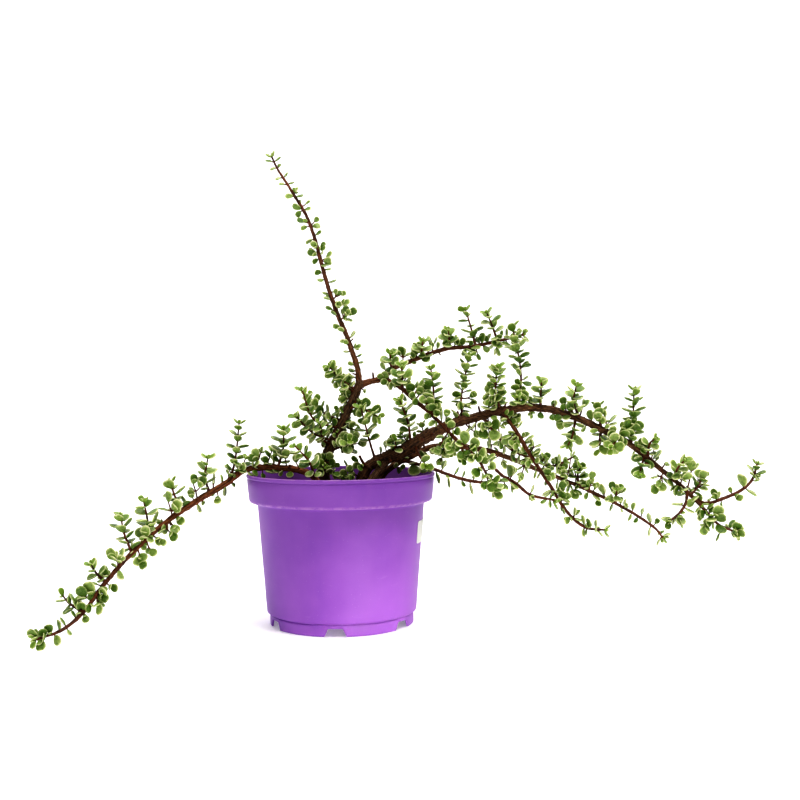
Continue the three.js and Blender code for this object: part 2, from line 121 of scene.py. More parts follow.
# Stems: the route as x, y, z and radius, and how ruddy the bark is, from 0, grey-brown, to 1, red-brown.
STEMS = {
    "trunk_left": (0.15, [
        (-17, 16, 92, 4.9), (-16, 15, 128, 5.1), (-13.6, 14, 149, 4.9), (-5, 13, 168, 4.3),
        (5, 12, 188, 3.9), (10.8, 11, 200, 3.8), (17, 10, 215, 3.9),
    ]),
    "upright_leader": (0.55, [
        (17, 10, 215, 2.7), (15, 11, 230, 2.5), (6.5, 14, 256, 2.25), (-5.5, 18, 286, 2),
        (-15.5, 22, 318, 1.8), (-22.5, 25, 345, 1.7), (-31, 28, 370, 1.5), (-45.4, 31, 395, 1.3),
        (-58.5, 34, 416, 1.05), (-64.2, 35, 428, 0.8),
    ]),
    "upper_branch": (0.6, [
        (16, 10, 213, 2.9), (27, 17, 217, 2.8), (38, 23, 220, 2.6), (50, 31, 230, 2.4),
        (70, 38, 238, 2.2), (96, 43, 247, 2), (124, 49, 250, 1.75), (148, 55, 255, 1.5),
        (173, 60, 261, 1.1),
    ]),
    "crossing_branch": (0.7, [
        (38, 23, 220, 2.2), (52, 12, 213, 2.05), (67, -4, 200, 1.9), (84, -23, 185, 1.75),
        (99, -37, 169, 1.6), (112, -47, 157, 1.45), (121, -53, 148, 1.25), (127, -60, 137, 1),
    ]),
    "trunk_right": (0.25, [
        (5, 8, 92, 5), (14, 7, 118, 5), (25, 5, 139, 5), (42, 3, 147.5, 6.2), (54, 2, 152, 6.2),
        (75, 2, 164.5, 5.8), (100, 1, 177, 4.6), (128, 1, 185, 4), (156, 0, 191, 3.7), (184, 0, 191.3, 3.4),
        (210, -3, 184, 3.2), (235, -7, 172, 3), (258, -10, 160, 2.7), (282, -14, 140, 2.3),
        (303, -17, 122, 2), (320, -20, 105, 1.7),
    ]),
    "root_stem": (0.1, [
        (43, 3, 147, 3.3), (36.5, -2, 139, 3.7), (28.5, -8, 128, 3.9), (20, -12, 113, 3.8),
        (15, -14, 95, 3.6),
    ]),
    "fork_lower": (0.8, [
        (320, -20, 105, 1.5), (326, -24, 97, 1.3), (334, -28, 88, 1.2), (348, -34, 82, 0.9),
    ]),
    "fork_upper": (0.9, [
        (314, -19, 111, 1.5), (326, -18, 106, 1.5), (343, -14, 110, 1.5), (361, -8, 117, 1.4),
        (372, -3, 126, 1.2), (377, 0, 139, 0.8),
    ]),
    "fork_back": (0.8, [
        (309, -18, 117, 1.3), (306, -23, 107, 1.2), (299, -29, 99, 1.1), (288, -35, 92, 0.9),
    ]),
    "lower_branch": (0.4, [
        (28, 24, 95, 3.2), (36, 25, 127, 3.1), (47, 26, 138, 3), (64, 28, 147, 2.8), (87, 32, 156, 2.7),
        (115, 35, 155, 2.6), (145, 38, 148.5, 2.5), (178, 43, 135, 2.2), (210, 47, 122, 1.9),
        (243, 51, 107, 1.65), (270, 55, 93, 1.45), (296, 58, 76, 1.25), (306, 60, 65, 0.9),
    ]),
    "drooping_branch": (0.6, [
        (145, 0, 189.5, 2), (156, -5, 175, 1.85), (166, -11, 157, 1.8), (176, -18, 140, 1.7),
        (187, -25, 122, 1.6), (198.5, -31, 102.6, 1.45), (213.5, -38, 88.5, 1.3), (230, -44, 86.5, 0.9),
    ]),
    "inner_branch": (0.6, [
        (128, 1, 185, 1.6), (140, 5, 170, 1.5), (154, 7, 155, 1.4), (172, 9, 146, 1.3),
        (192, 10, 138, 1.1), (212, 10, 146, 0.8),
    ]),
    "low_branch": (0.9, [
        (57, 27, 143, 1.6), (70, 8, 141, 1.6), (84, -14, 138, 1.5), (106, -18, 130, 1.45),
        (130, -24, 126.3, 1.4), (150, -29, 129, 1.4), (167, -33, 116.6, 1.3), (188, -40, 112, 0.9),
    ]),
    "trailing_branch": (0.9, [
        (-6, -38, 95, 2.8), (-19, -35, 130, 2.8), (-35, -30, 139, 2.8), (-58, -23, 141, 2.8),
        (-84, -16, 139, 2.8), (-99.7, -24, 128, 2.8), (-127.7, -44, 111, 2.6), (-150, -61, 94.5, 2.3),
        (-170, -79, 75, 2), (-187, -97, 54, 1.8), (-200.4, -114, 33.2, 1.55), (-213.3, -127, 22.2, 1.35),
        (-230, -140, 17.5, 0.9),
    ]),
}

# Leafy side shoots: the stem that it grows from, the place on it counted in route points, the last leaf
# pair's turn round the shoot in degrees, the leaf length, and two points on the way to its tip.
SHOOTS = {
    "shoot_trailing_1": ("trailing_branch", 4.9, 0, 8.8, (-93, -17, 148), (-90, -12, 180)),
    "shoot_trailing_2": ("trailing_branch", 5.5, 20, 9.5, (-116, -37, 134), (-113, -42, 151)),
    "shoot_trailing_3": ("trailing_branch", 6.3, 0, 9.5, (-142, -46, 122), (-145, -42, 130)),
    "shoot_trailing_4": ("trailing_branch", 7.45, 30, 9.5, (-159, -70, 102), (-161, -74, 117)),
    "shoot_trailing_5": ("trailing_branch", 8, 10, 9.5, (-178, -74, 92), (-181, -70, 105)),
    "shoot_trailing_6": ("trailing_branch", 9, 0, 8.5, (-194, -101, 63), (-196, -106, 70)),
    "shoot_trailing_7": ("trailing_branch", 10, 40, 8.5, (-213, -110, 40), (-219, -106, 45)),
    "shoot_left_rim": ("trailing_branch", 2.85, 0, 10.5, (-49, -29, 158), (-48, -32, 175)),
    "shoot_left_inner": ("trailing_branch", 1.1, 30, 8.8, (-25, -46, 148), (-36, -50, 161)),
    "shoot_left_mid": ("trunk_left", 2.7, 15, 8.8, (-26, 3, 171), (-39, -12, 186)),
    "shoot_left_bushy": ("trunk_left", 2.5, 45, 8, (-16, 0, 165), (-18, -8, 179)),
    "shoot_left_high": ("trunk_left", 3.6, 0, 8.8, (-16, 19, 188), (-31, 32, 203)),
    "shoot_left_front": ("trunk_left", 3.3, 25, 8.8, (-24, -2, 183), (-33, -16, 209)),
    "shoot_left_top": ("trunk_left", 5.6, 35, 9.5, (0, 4, 219), (-9, -4, 230)),
    "shoot_centre_low": ("trunk_right", 2.4, 0, 9.5, (26, -3, 164), (19, -10, 193)),
    "shoot_centre_mid": ("trunk_left", 4.3, 20, 9.5, (17, 0, 194), (34, -8, 185)),
    "shoot_centre_front": ("trunk_left", 2.2, 45, 9.5, (3, 2, 159), (8, -10, 164)),
    "shoot_upper_1": ("upper_branch", 2.8, 20, 9.5, (45, 20, 236), (46, 14, 242)),
    "shoot_upper_2": ("upper_branch", 4.2, 0, 8.5, (75, 30, 249), (76, 27, 254)),
    "shoot_upper_3": ("upper_branch", 5.2, 30, 9.5, (101, 39, 256), (100, 34, 264)),
    "shoot_upper_4": ("upper_branch", 6.1, 0, 9.5, (122, 56, 270), (118, 60, 285)),
    "shoot_upper_5": ("upper_branch", 7, 15, 9.5, (142, 49, 270), (137, 44, 281)),
    "shoot_crossing_1": ("crossing_branch", 1.3, 0, 9.5, (56, 0, 221), (56, -8, 230)),
    "shoot_crossing_2": ("crossing_branch", 2.9, 35, 9.5, (84, -15, 207), (82, -10, 227)),
    "shoot_right_1": ("trunk_right", 4.5, 0, 9.5, (61, -5, 180), (54, -13, 199)),
    "shoot_right_2": ("trunk_right", 6.4, 10, 9.5, (110, 6, 202), (118, 16, 240)),
    "shoot_right_3": ("trunk_right", 7.6, 0, 9.5, (140, -7, 209), (141, -14, 228)),
    "shoot_right_4": ("trunk_right", 8.2, 20, 9.5, (165, 12, 225), (159, 24, 267)),
    "shoot_right_5": ("trunk_right", 8.9, 30, 9.5, (181, -5, 204), (181, -10, 215)),
    "shoot_right_6": ("trunk_right", 10.2, 45, 9.5, (210, -10, 199), (211, -16, 211)),
    "shoot_right_7": ("trunk_right", 11, 20, 9.5, (234, 2, 187), (234, 6, 193)),
    "shoot_right_8": ("trunk_right", 12.1, 0, 9.5, (264, -4, 181), (267, 4, 207)),
    "shoot_right_9": ("trunk_right", 12.7, 30, 7, (275, -20, 159), (279, -25, 164)),
    "shoot_right_10": ("trunk_right", 13.8, 10, 8.5, (298, -24, 136), (303, -30, 145)),
    "shoot_right_11": ("trunk_right", 14.5, 40, 8, (321, -11, 123), (326, -6, 130)),
    "shoot_hanging_1": ("trunk_right", 10.1, 0, 10.5, (209, -8, 168), (204, -12, 158)),
    "shoot_hanging_2": ("trunk_right", 11, 20, 10.5, (234, -3, 161), (236, 1, 154)),
    "shoot_hanging_3": ("trunk_right", 12.6, 0, 10.5, (269, -17, 141), (266, -22, 135)),
    "shoot_front_right": ("trunk_right", 11.6, 45, 8.8, (245, -18, 161), (240, -27, 157)),
    "shoot_rim_right": ("trunk_right", 4.65, 40, 10.5, (71, -17, 150), (76, -29, 143)),
    "shoot_lower_1": ("lower_branch", 8.4, 20, 8.5, (222, 44, 128), (224, 41, 134)),
    "shoot_lower_2": ("lower_branch", 9.6, 0, 8.5, (259, 47, 107), (259, 44, 112)),
}

# How far up from its foot a side shoot is bare, where it is.
BARE_FEET = {
    "shoot_centre_low": 14, "shoot_right_1": 6, "shoot_right_2": 27, "shoot_right_3": 26, "shoot_right_4": 34,
    "shoot_rim_right": 25, "shoot_left_bushy": 12, "shoot_centre_mid": 12, "shoot_centre_front": 12,
}

# Leafy stretches of the stems themselves: first and last place in route points, spacing of the pairs, leaf
# length, the last pair's turn, how far each pair is turned on from the last, and how far the leaves turn
# their faces to the light.
LEAFY = {
    "upright_leader": [(8.9, 9, 7, 8.5, -30, 60, 0.6)],
    "upper_branch": [(7.7, 8, 7, 8.5, 0, 90, 0.8)],
    "crossing_branch": [(6.8, 7, 7, 9, 30, 90, 1.2)],
    "trunk_right": [(14.6, 15, 8, 9, 0, 90, 1.2)],
    "fork_lower": [(2.8, 3, 6, 9, 0, 90, 1.2)],
    "fork_upper": [(4.7, 5, 5.5, 9.5, 0, 75, 0.3)],
    "fork_back": [(2.8, 3, 6, 8.5, 45, 90, 0.8)],
    "lower_branch": [(11.6, 12, 6, 8, 0, 90, 0.3)],
    "drooping_branch": [(6.6, 7, 6, 8.5, 0, 90, 0.3)],
    "inner_branch": [(1.3, 5, 9, 8, 0, 90, 0.4)],
    "low_branch": [(6.8, 7, 6, 7.5, 90, 90, 0)],
    "trailing_branch": [(11.7, 12, 7, 9.5, 0, 90, 1.2)],
}

# Sprigs: short leafy side growths, each at a place on its stem counted in route points. Then come the way
# from there to its tip, its leaf pairs, its leaf length and its first pair's turn in degrees.
SPRIGS = {
    "trunk_left": [
        (1.8, (9, -14, -6), 2, 9, 45), (2.0, (-7, -12, -3), 2, 9, 0), (1.9, (-1, -18, -6), 2, 9, 30),
        (2.6, (18, -15, 3), 2, 9, 20), (2.9, (14, -8, -11), 2, 8, 45), (3.1, (1, -9, 2), 1, 8, 0),
        (3.9, (8, 4, -12), 2, 8, 0), (3.3, (5, 10, 4), 3, 8, 30), (4.3, (-14, 3, -2), 2, 8, 0),
        (5.2, (-13, 3, -2), 3, 8, 45), (5.2, (-9, 8, 8), 2, 9, 0), (4.8, (7, 8, 2), 2, 8, 45),
        (5.9, (7, -4, -7), 1, 8, 45), (3.7, (8, 9, 8), 2, 8, 45), (3.5, (-13, 8, 3), 2, 8, 0),
        (5.6, (-15, 6, -2), 2, 9, 60), (3.5, (16, -6, -7), 3, 8, 60), (4.7, (-10, 6, 6), 3, 8, 20),
        (4.0, (-11, 5, 4), 3, 8, 60), (4.6, (10, 5, 4), 2, 8, 45), (4.5, (12, 4, -3), 3, 8, 45),
    ],
    "trunk_right": [
        (1.1, (-9, -12, 12), 2, 7, 30), (0.9, (-15, -12, 16), 2, 7, 45), (3.3, (1, 7, 7), 1, 8, 0),
        (3.6, (1, -10, 17), 3, 9, 45), (3.9, (-10, 6, 14), 3, 9, 20), (4.2, (13, 8, 13), 2, 8, 0),
        (4.5, (-10, 8, 14), 2, 8, 45), (5.1, (-5, 10, 14), 1, 7, 0), (7.6, (5, 6, -14), 2, 8, 0),
        (7.8, (11, 8, -13), 2, 8, 45), (6.1, (12, 6, 19), 2, 9, 45), (7.5, (5, 7, 11), 3, 9, 0),
        (7.3, (-4, -6, 11), 3, 9, 45), (8.2, (-3, -7, 13), 3, 9, 0), (8.3, (6, 6, 10), 3, 9, 45),
        (8.5, (3, -2, -7), 1, 8, 0),
    ],
    "lower_branch": [
        (2.1, (7, -9, -4), 2, 7, 30), (2.7, (3, -6, 10), 2, 8, 0), (4.3, (-4, -12, -18), 1, 8, 0),
        (4.6, (-5, -7, -8), 2, 8, 0), (5.2, (-5, -6, -13), 2, 8, 0), (5.7, (-8, -6, -8), 2, 8, 45),
    ],
    "inner_branch": [
        (1.9, (5, -5, 8), 2, 8, 0), (2.5, (6, -5, 7), 2, 8, 45), (2.8, (-1, -4, -8), 2, 8, 0),
        (3.2, (-1, 4, 9), 2, 8, 0), (3.5, (6, -4, 8), 2, 9, 0), (3.8, (-1, -5, -7), 2, 8, 45),
        (4.2, (6, -4, -5), 2, 8, 0),
    ],
    "trailing_branch": [
        (4.4, (9, -5, 17), 2, 8, 45), (3.3, (7, 3, 18), 3, 8, 45),
    ],
}

# Single leaves, each on a short spur of its stem: the place on the stem counted in route points, the way
# from there to the leaf's tip, its length and its turn in degrees: with 0 its face looks along -Y.
LEAVES = {
    "trailing_branch": [
        (1.9, (-7, -8, 14), 8, 24), (2.4, (1, -6, -6), 9, 0), (2.5, (-2, -9, 17), 9, 0),
        (2.6, (-3, -5, -7), 7, 67), (3.0, (2, -6, -4), 7, 52), (3.0, (1, -3, 11), 8, 83),
        (3.1, (7, -4, 17), 8, 12), (3.3, (3, -6, 11), 8, 0), (3.4, (12, -8, -7), 11, 56),
        (3.4, (1, -4, -10), 6, 67), (3.6, (1, -6, -5), 8, 52), (3.8, (8, -8, 6), 8, 46),
        (3.9, (3, -5, -8), 7, 64), (4.1, (1, -6, 8), 8, 0), (4.3, (-8, -5, -6), 9, 38),
        (4.7, (-5, -5, 13), 7, 83), (4.8, (1, 3, -7), 5, 64), (4.9, (-1, -2, 11), 5, 46),
        (5.0, (-2, -3, -10), 9, 78), (5.1, (-5, 3, 8), 7, 80), (5.3, (3, -5, -14), 8, 0),
        (5.3, (-3, -2, -6), 5, 76), (5.7, (1, 3, -7), 5, 56), (5.8, (0, -2, -11), 8, 56),
        (5.9, (-2, -4, 12), 8, 0), (6.1, (-5, 4, 9), 8, 64), (6.5, (8, -4, -6), 9, 0),
        (6.5, (-2, 3, 9), 7, 67), (6.7, (-6, -5, -10), 11, 46), (6.9, (-6, 4, 4), 6, 46),
        (7.3, (-1, -7, -6), 7, 0), (7.5, (0, -7, 11), 11, 0), (7.5, (-5, -5, 5), 10, 0),
        (7.5, (-2, -3, -9), 7, 46), (7.5, (-3, -3, 1), 5, 80), (7.8, (-3, -4, -7), 8, 56),
        (8.0, (1, 3, 9), 8, 76), (8.5, (3, -4, -9), 9, 60), (8.5, (-3, -6, 2), 6, 24),
        (8.9, (-1, -4, 10), 8, 0), (8.9, (-2, 5, 11), 9, 86), (9.0, (11, -6, -6), 9, 0),
        (9.1, (-2, -7, -2), 6, 64), (9.1, (-11, -2, 2), 7, 86), (9.3, (9, -4, 2), 9, 0),
        (9.3, (3, -2, -10), 8, 46), (9.3, (9, -5, -8), 9, 0), (9.4, (-5, -8, -2), 7, 0),
        (9.4, (6, -6, -15), 10, 0), (9.5, (-4, -6, 14), 12, 0), (9.5, (-3, 4, 8), 8, 70),
        (9.6, (-2, -8, -7), 8, 24), (10.0, (2, -5, 9), 8, 0), (10.0, (-4, 3, 9), 8, 64),
        (10.0, (6, -3, -7), 7, 0), (10.0, (-4, -4, 0), 5, 56), (10.3, (-6, 2, 5), 6, 73),
        (10.8, (3, -2, -7), 6, 70), (10.8, (-6, 3, 6), 8, 73), (11.1, (-1, -3, 8), 9, 52),
        (11.3, (3, -5, -9), 9, 0), (11.4, (-2, -4, 6), 8, 0), (11.5, (-3, 4, 8), 7, 70),
        (11.6, (-3, -6, 5), 8, 0), (11.8, (2, -5, -8), 9, 0), (11.9, (-3, -4, 9), 10, 0),
    ],
    "low_branch": [
        (0.6, (3, -10, -11), 13, 0), (1.1, (6, -6, 14), 9, 46), (1.5, (6, -8, -4), 11, 0),
        (2.1, (0, -2, -11), 11, 90), (2.3, (5, 3, 10), 9, 73), (2.5, (2, -4, -3), 5, 56),
        (2.6, (1, -2, -10), 10, 90), (2.8, (4, 3, 9), 8, 86), (3.1, (3, 2, 7), 6, 88),
        (3.1, (1, -3, -6), 6, 56), (3.4, (0, -2, -11), 11, 90), (3.5, (2, 3, 6), 6, 76),
        (3.8, (1, -2, -5), 6, 86), (3.8, (2, 2, 8), 7, 83), (4.4, (5, -6, -7), 7, 24),
        (4.7, (3, -5, -8), 6, 64), (4.9, (6, 3, 12), 11, 83), (5.0, (3, -5, -8), 10, 67),
        (5.1, (2, -3, -9), 9, 76), (5.3, (5, -3, 3), 5, 70), (5.5, (-7, -4, -2), 5, 76),
        (5.9, (4, -3, -5), 7, 60), (6.0, (5, 3, 8), 8, 86), (6.0, (2, -4, -4), 6, 46),
        (6.7, (-4, -2, -4), 6, 86), (6.9, (7, 3, -7), 10, 80),
    ],
    "drooping_branch": [
        (0.1, (9, -4, -1), 9, 24), (0.6, (-7, -4, 0), 7, 76), (0.9, (9, 3, 4), 8, 56),
        (1.1, (8, -5, 3), 9, 76), (1.3, (-7, -3, -1), 7, 76), (1.4, (-10, -7, -10), 8, 0),
        (1.4, (-6, -4, -5), 7, 46), (1.6, (7, 4, 6), 8, 56), (1.6, (-8, -5, -7), 9, 12),
        (1.6, (3, -3, 4), 5, 64), (1.7, (-8, -6, -7), 8, 24), (1.8, (8, -4, 6), 10, 76),
        (1.8, (8, 5, 0), 7, 76), (1.9, (-4, -5, -6), 6, 46), (2.0, (-4, 3, -6), 6, 46),
        (2.1, (5, 3, 5), 6, 76), (2.2, (5, 3, 3), 5, 80), (2.4, (9, -5, 4), 9, 67),
        (2.5, (8, -5, 6), 9, 46), (2.6, (-7, -5, -7), 8, 12), (2.6, (6, -6, -4), 7, 0),
        (3.0, (-4, -3, -11), 8, 70), (3.2, (-1, 3, -8), 6, 52), (3.5, (6, -6, 6), 8, 0),
        (3.5, (5, -5, -2), 6, 0), (3.5, (9, -7, 0), 8, 46), (3.6, (0, 3, -6), 5, 46),
        (4.0, (0, -3, -9), 7, 80), (4.1, (-10, -4, -5), 10, 83), (4.1, (-6, 3, -8), 7, 64),
        (4.1, (5, -5, -3), 7, 76), (4.2, (9, -3, 4), 7, 24), (4.2, (11, -6, 7), 9, 12),
        (4.5, (4, -4, 8), 8, 67), (4.6, (5, -6, 9), 9, 24), (4.7, (2, 2, -6), 6, 80),
        (4.7, (7, -4, 0), 6, 67), (4.8, (2, -2, -7), 6, 88), (5.3, (-5, -4, -7), 8, 38),
        (5.4, (4, -3, 9), 8, 76), (5.4, (7, 3, 7), 7, 83), (5.4, (8, -3, -1), 7, 88),
        (6.0, (0, 3, 10), 9, 83), (6.0, (5, -5, 3), 7, 46), (6.0, (-1, -3, -7), 8, 56),
        (6.1, (2, -4, 9), 6, 46), (6.1, (2, 3, -5), 6, 64), (6.6, (-1, 3, 6), 7, 80),
        (6.7, (1, -3, -6), 6, 83),
    ],
    "lower_branch": [
        (4.0, (-4, -8, -6), 7, 0), (4.0, (-4, -6, -8), 8, 24), (4.2, (-1, -8, -9), 9, 0),
        (4.3, (2, -6, -9), 9, 12), (4.4, (-7, -10, 0), 9, 0), (4.4, (-2, -6, 8), 8, 0),
        (4.6, (1, -5, -7), 8, 46), (4.8, (7, -6, -8), 8, 24), (5.8, (-5, -3, 9), 8, 80),
        (6.1, (-11, -4, -7), 9, 80), (6.1, (-5, -4, 8), 5, 76), (6.2, (-3, -3, -13), 9, 46),
        (6.5, (0, -3, 11), 8, 70), (6.7, (6, -6, -9), 5, 80), (6.8, (-5, -3, -5), 6, 76),
        (6.8, (2, -6, -4), 6, 0), (6.8, (-5, -5, -15), 8, 38), (6.8, (2, -3, -7), 7, 80),
        (7.4, (5, -6, 7), 7, 0), (7.5, (6, -7, 7), 7, 24), (7.6, (-3, -5, -3), 7, 0),
        (7.7, (3, -7, 9), 8, 56), (7.8, (-2, -5, -12), 8, 80), (7.9, (6, -9, 5), 9, 12),
        (7.9, (3, -6, -8), 8, 0), (8.2, (-7, -3, -7), 8, 46), (8.3, (3, -5, -4), 5, 0),
        (8.7, (-4, -4, 10), 9, 46), (8.7, (-7, 3, 11), 9, 46), (8.7, (-4, -4, -7), 8, 46),
        (8.8, (3, -3, -11), 9, 56), (8.8, (4, -4, 7), 6, 76), (9.0, (0, -3, -11), 7, 0),
        (9.2, (-2, 3, 10), 8, 70), (9.2, (-2, -4, 14), 10, 52), (9.2, (1, -4, -2), 5, 46),
        (9.5, (0, 3, 8), 6, 64), (9.5, (-2, 2, -9), 8, 76), (9.8, (-1, -3, 8), 6, 64),
        (9.8, (1, -3, -5), 5, 76), (9.9, (4, -4, 2), 5, 46), (9.9, (3, 3, 8), 7, 76),
        (10.2, (-4, -3, -8), 8, 76), (10.2, (4, 3, 9), 8, 83), (10.4, (-2, -3, -6), 6, 80),
        (10.5, (4, 3, 9), 7, 83), (10.9, (1, 3, 11), 10, 73), (10.9, (-2, -3, -11), 9, 70),
        (11.0, (6, -4, 7), 6, 24), (11.7, (5, 3, 3), 5, 83), (11.9, (8, -3, 2), 8, 83),
        (11.9, (-6, -3, -9), 8, 80), (12.0, (3, -3, -6), 6, 56),
    ],
    "trunk_right": [
        (1.8, (-11, -10, 7), 8, 0), (2.6, (0, -8, -1), 8, 46), (2.7, (-2, -8, 12), 7, 76),
        (3.0, (-2, -7, 15), 7, 76), (3.4, (-2, -8, 11), 7, 76), (6.4, (14, -13, -14), 8, 0),
        (6.6, (0, 6, -12), 7, 64), (7.2, (6, -12, -4), 8, 56), (7.2, (1, -12, -30), 9, 76),
        (8.6, (-1, -4, -10), 7, 38), (8.6, (0, 3, 8), 6, 46), (8.9, (-1, -3, 10), 7, 56),
        (8.9, (0, -4, -10), 7, 24), (9.3, (1, 4, 7), 6, 67), (9.3, (3, -4, 9), 7, 70),
        (9.4, (-4, -5, -8), 7, 0), (9.4, (2, -6, -9), 9, 0), (9.5, (-1, -4, -17), 10, 0),
        (9.6, (4, -7, -10), 9, 0), (9.7, (-3, -6, 7), 8, 0), (9.8, (-3, 4, 16), 8, 24),
        (9.9, (0, -6, 12), 10, 0), (9.9, (4, -7, 12), 8, 24), (10.2, (-9, 3, 10), 7, 56),
        (10.5, (-4, -3, -8), 7, 52), (10.7, (-3, 3, 14), 10, 46), (11.0, (-10, -3, -3), 8, 56),
        (11.0, (4, -4, 3), 6, 46), (11.5, (-4, -6, 6), 8, 0), (11.6, (-11, -8, 3), 10, 12),
        (11.6, (-6, -8, -12), 11, 0), (11.6, (-11, -6, -4), 8, 56), (11.6, (6, -9, 6), 11, 0),
        (11.6, (5, -10, -7), 11, 0), (11.9, (-6, -3, -8), 7, 83), (12.1, (3, -6, 9), 7, 24),
        (12.3, (-1, -4, 7), 5, 24), (12.3, (-3, -3, -4), 5, 76), (12.5, (-1, 4, 14), 11, 46),
        (12.6, (-10, -4, -3), 8, 73), (12.6, (0, -4, 14), 8, 38), (12.6, (0, -5, 10), 8, 56),
        (12.8, (5, -4, 18), 9, 76), (12.8, (-1, -3, -5), 5, 80), (12.8, (10, -3, 9), 11, 80),
        (12.9, (6, 3, 5), 5, 83), (13.6, (-2, -4, -5), 9, 24), (13.8, (2, 4, 10), 8, 56),
        (13.8, (7, 5, 12), 8, 70), (13.9, (-9, -4, -6), 5, 56), (14.0, (-8, -8, -10), 12, 38),
        (14.0, (0, -5, -5), 7, 76), (14.1, (0, -12, -3), 9, 0), (14.4, (4, 3, 3), 5, 56),
        (14.4, (-12, -4, -2), 9, 60), (14.8, (-8, -4, -3), 9, 24), (15.0, (2, 3, 9), 8, 46),
        (15.0, (-5, -3, -7), 6, 56),
    ],
    "fork_back": [
        (0.9, (5, 3, 0), 5, 46), (1.4, (7, -4, -4), 9, 83), (2.0, (5, 3, -2), 5, 70),
        (2.1, (0, -5, -9), 11, 0), (2.2, (4, -4, -12), 10, 76), (2.3, (-2, 3, -8), 8, 70),
        (2.7, (-11, -4, 2), 11, 52), (2.9, (-4, -5, -6), 8, 12), (2.9, (-7, 3, 1), 7, 64),
    ],
    "fork_lower": [
        (0.4, (-7, -4, -10), 7, 24), (0.6, (9, 3, 4), 8, 76), (0.7, (-7, -6, -4), 10, 12),
        (1.0, (4, 3, 5), 7, 46), (1.1, (0, -9, -6), 10, 0), (1.2, (-8, -5, -16), 10, 12),
        (1.3, (10, -5, 9), 11, 12), (1.3, (-5, -8, -7), 10, 0), (1.4, (9, -7, 3), 11, 0),
        (1.6, (-2, 3, -8), 6, 76), (1.8, (2, -7, -9), 12, 0), (2.1, (-3, -3, -14), 8, 76),
        (2.6, (-1, 3, 3), 5, 80), (2.6, (3, 3, 7), 9, 76), (2.7, (1, -4, -6), 6, 46),
        (2.8, (2, -4, 6), 10, 0), (2.8, (2, -5, -8), 8, 24), (2.9, (5, -6, 0), 9, 0),
    ],
    "fork_upper": [
        (1.1, (1, 3, 4), 5, 56), (1.6, (-3, -3, 6), 7, 56), (1.7, (-2, 3, 11), 10, 46),
        (1.8, (2, -3, -8), 8, 83), (2.4, (0, 3, 5), 6, 76), (2.5, (5, -6, -4), 9, 0),
        (3.1, (-4, -4, 14), 13, 60), (3.2, (9, -3, -9), 11, 83), (3.9, (4, -3, -1), 6, 76),
        (3.9, (-2, 3, -4), 5, 76), (4.2, (4, -3, -1), 5, 64), (4.2, (-3, -3, 4), 5, 76),
        (4.4, (-5, 3, 7), 9, 80), (4.4, (9, -3, -1), 9, 76), (4.4, (1, -4, -5), 6, 46),
    ],
    "inner_branch": [
        (1.4, (-2, -4, -7), 7, 56), (1.7, (-1, -4, -7), 6, 64), (2.0, (7, -3, 7), 7, 56),
        (2.1, (2, -6, -11), 11, 67), (4.1, (-1, -4, 7), 6, 46), (4.2, (1, 3, 5), 6, 64),
    ],
    "crossing_branch": [
        (0.3, (-9, -7, 4), 8, 0), (0.4, (-4, -5, 7), 8, 24), (0.6, (-10, -6, -2), 8, 24),
        (0.8, (-5, -7, -3), 9, 24), (1.1, (-1, 3, 8), 7, 56), (1.3, (0, -3, -12), 9, 64),
        (1.7, (2, -5, 11), 10, 0), (2.2, (13, -10, 9), 9, 0), (2.2, (-7, -7, 10), 8, 0),
        (2.4, (-11, -6, 4), 8, 0), (2.7, (11, -9, 7), 9, 46), (2.9, (-7, -6, -2), 7, 24),
        (3.1, (1, -12, 8), 8, 0), (3.2, (-7, -4, -4), 8, 24), (3.4, (0, -4, 15), 12, 76),
        (3.7, (5, -9, 9), 10, 0), (3.8, (0, -4, -8), 8, 73), (3.9, (9, -8, 3), 8, 24),
        (4.1, (-6, -6, -5), 9, 0), (4.2, (-4, -4, -6), 8, 56), (4.4, (-1, -7, -7), 9, 0),
        (4.4, (-3, -6, -8), 9, 0), (4.7, (4, -8, 9), 13, 0), (5.2, (1, -8, -10), 8, 24),
        (5.5, (6, -9, -6), 9, 0), (5.7, (10, -7, 6), 11, 38), (5.8, (10, -5, -4), 9, 24),
        (6.2, (13, -5, 6), 10, 73), (6.4, (-8, -8, -9), 10, 0), (6.8, (10, -6, 6), 8, 24),
        (7.0, (3, -5, -6), 7, 64),
    ],
    "trunk_left": [
        (3.2, (-4, -7, -5), 6, 0),
    ],
    "upright_leader": [
        (0.4, (-11, -3, 0), 8, 73), (0.8, (-8, 3, 1), 7, 67), (1.1, (-6, -3, 0), 6, 73),
        (1.2, (6, -3, 0), 6, 70), (1.4, (7, 3, 2), 6, 76), (1.6, (-7, 3, -1), 6, 67),
        (1.7, (9, -4, 3), 7, 46), (1.8, (-5, -5, 2), 6, 56), (1.9, (-8, -4, 1), 7, 64),
        (2.0, (8, -3, 5), 8, 60), (2.2, (-5, -5, 3), 7, 52), (2.3, (-6, 4, 0), 5, 67),
        (2.4, (-8, -3, -1), 7, 56), (2.6, (11, -7, 8), 7, 24), (2.7, (-7, -5, 4), 7, 56),
        (2.9, (-10, -3, 1), 7, 64), (3.0, (7, -6, 4), 7, 12), (3.1, (8, -5, -3), 7, 38),
        (3.1, (16, -4, 1), 9, 24), (3.2, (-6, -3, 1), 7, 70), (3.3, (-4, 4, 1), 5, 56),
        (3.4, (-6, 3, -1), 6, 70), (3.4, (7, -3, 3), 6, 73), (3.7, (9, -3, 2), 8, 70),
        (3.8, (-7, 3, -1), 7, 60), (4.0, (-9, -3, -1), 7, 38), (4.1, (7, 3, 1), 6, 78),
        (4.3, (10, -3, -2), 8, 56), (4.3, (3, -6, -5), 6, 12), (4.4, (10, -4, -2), 8, 12),
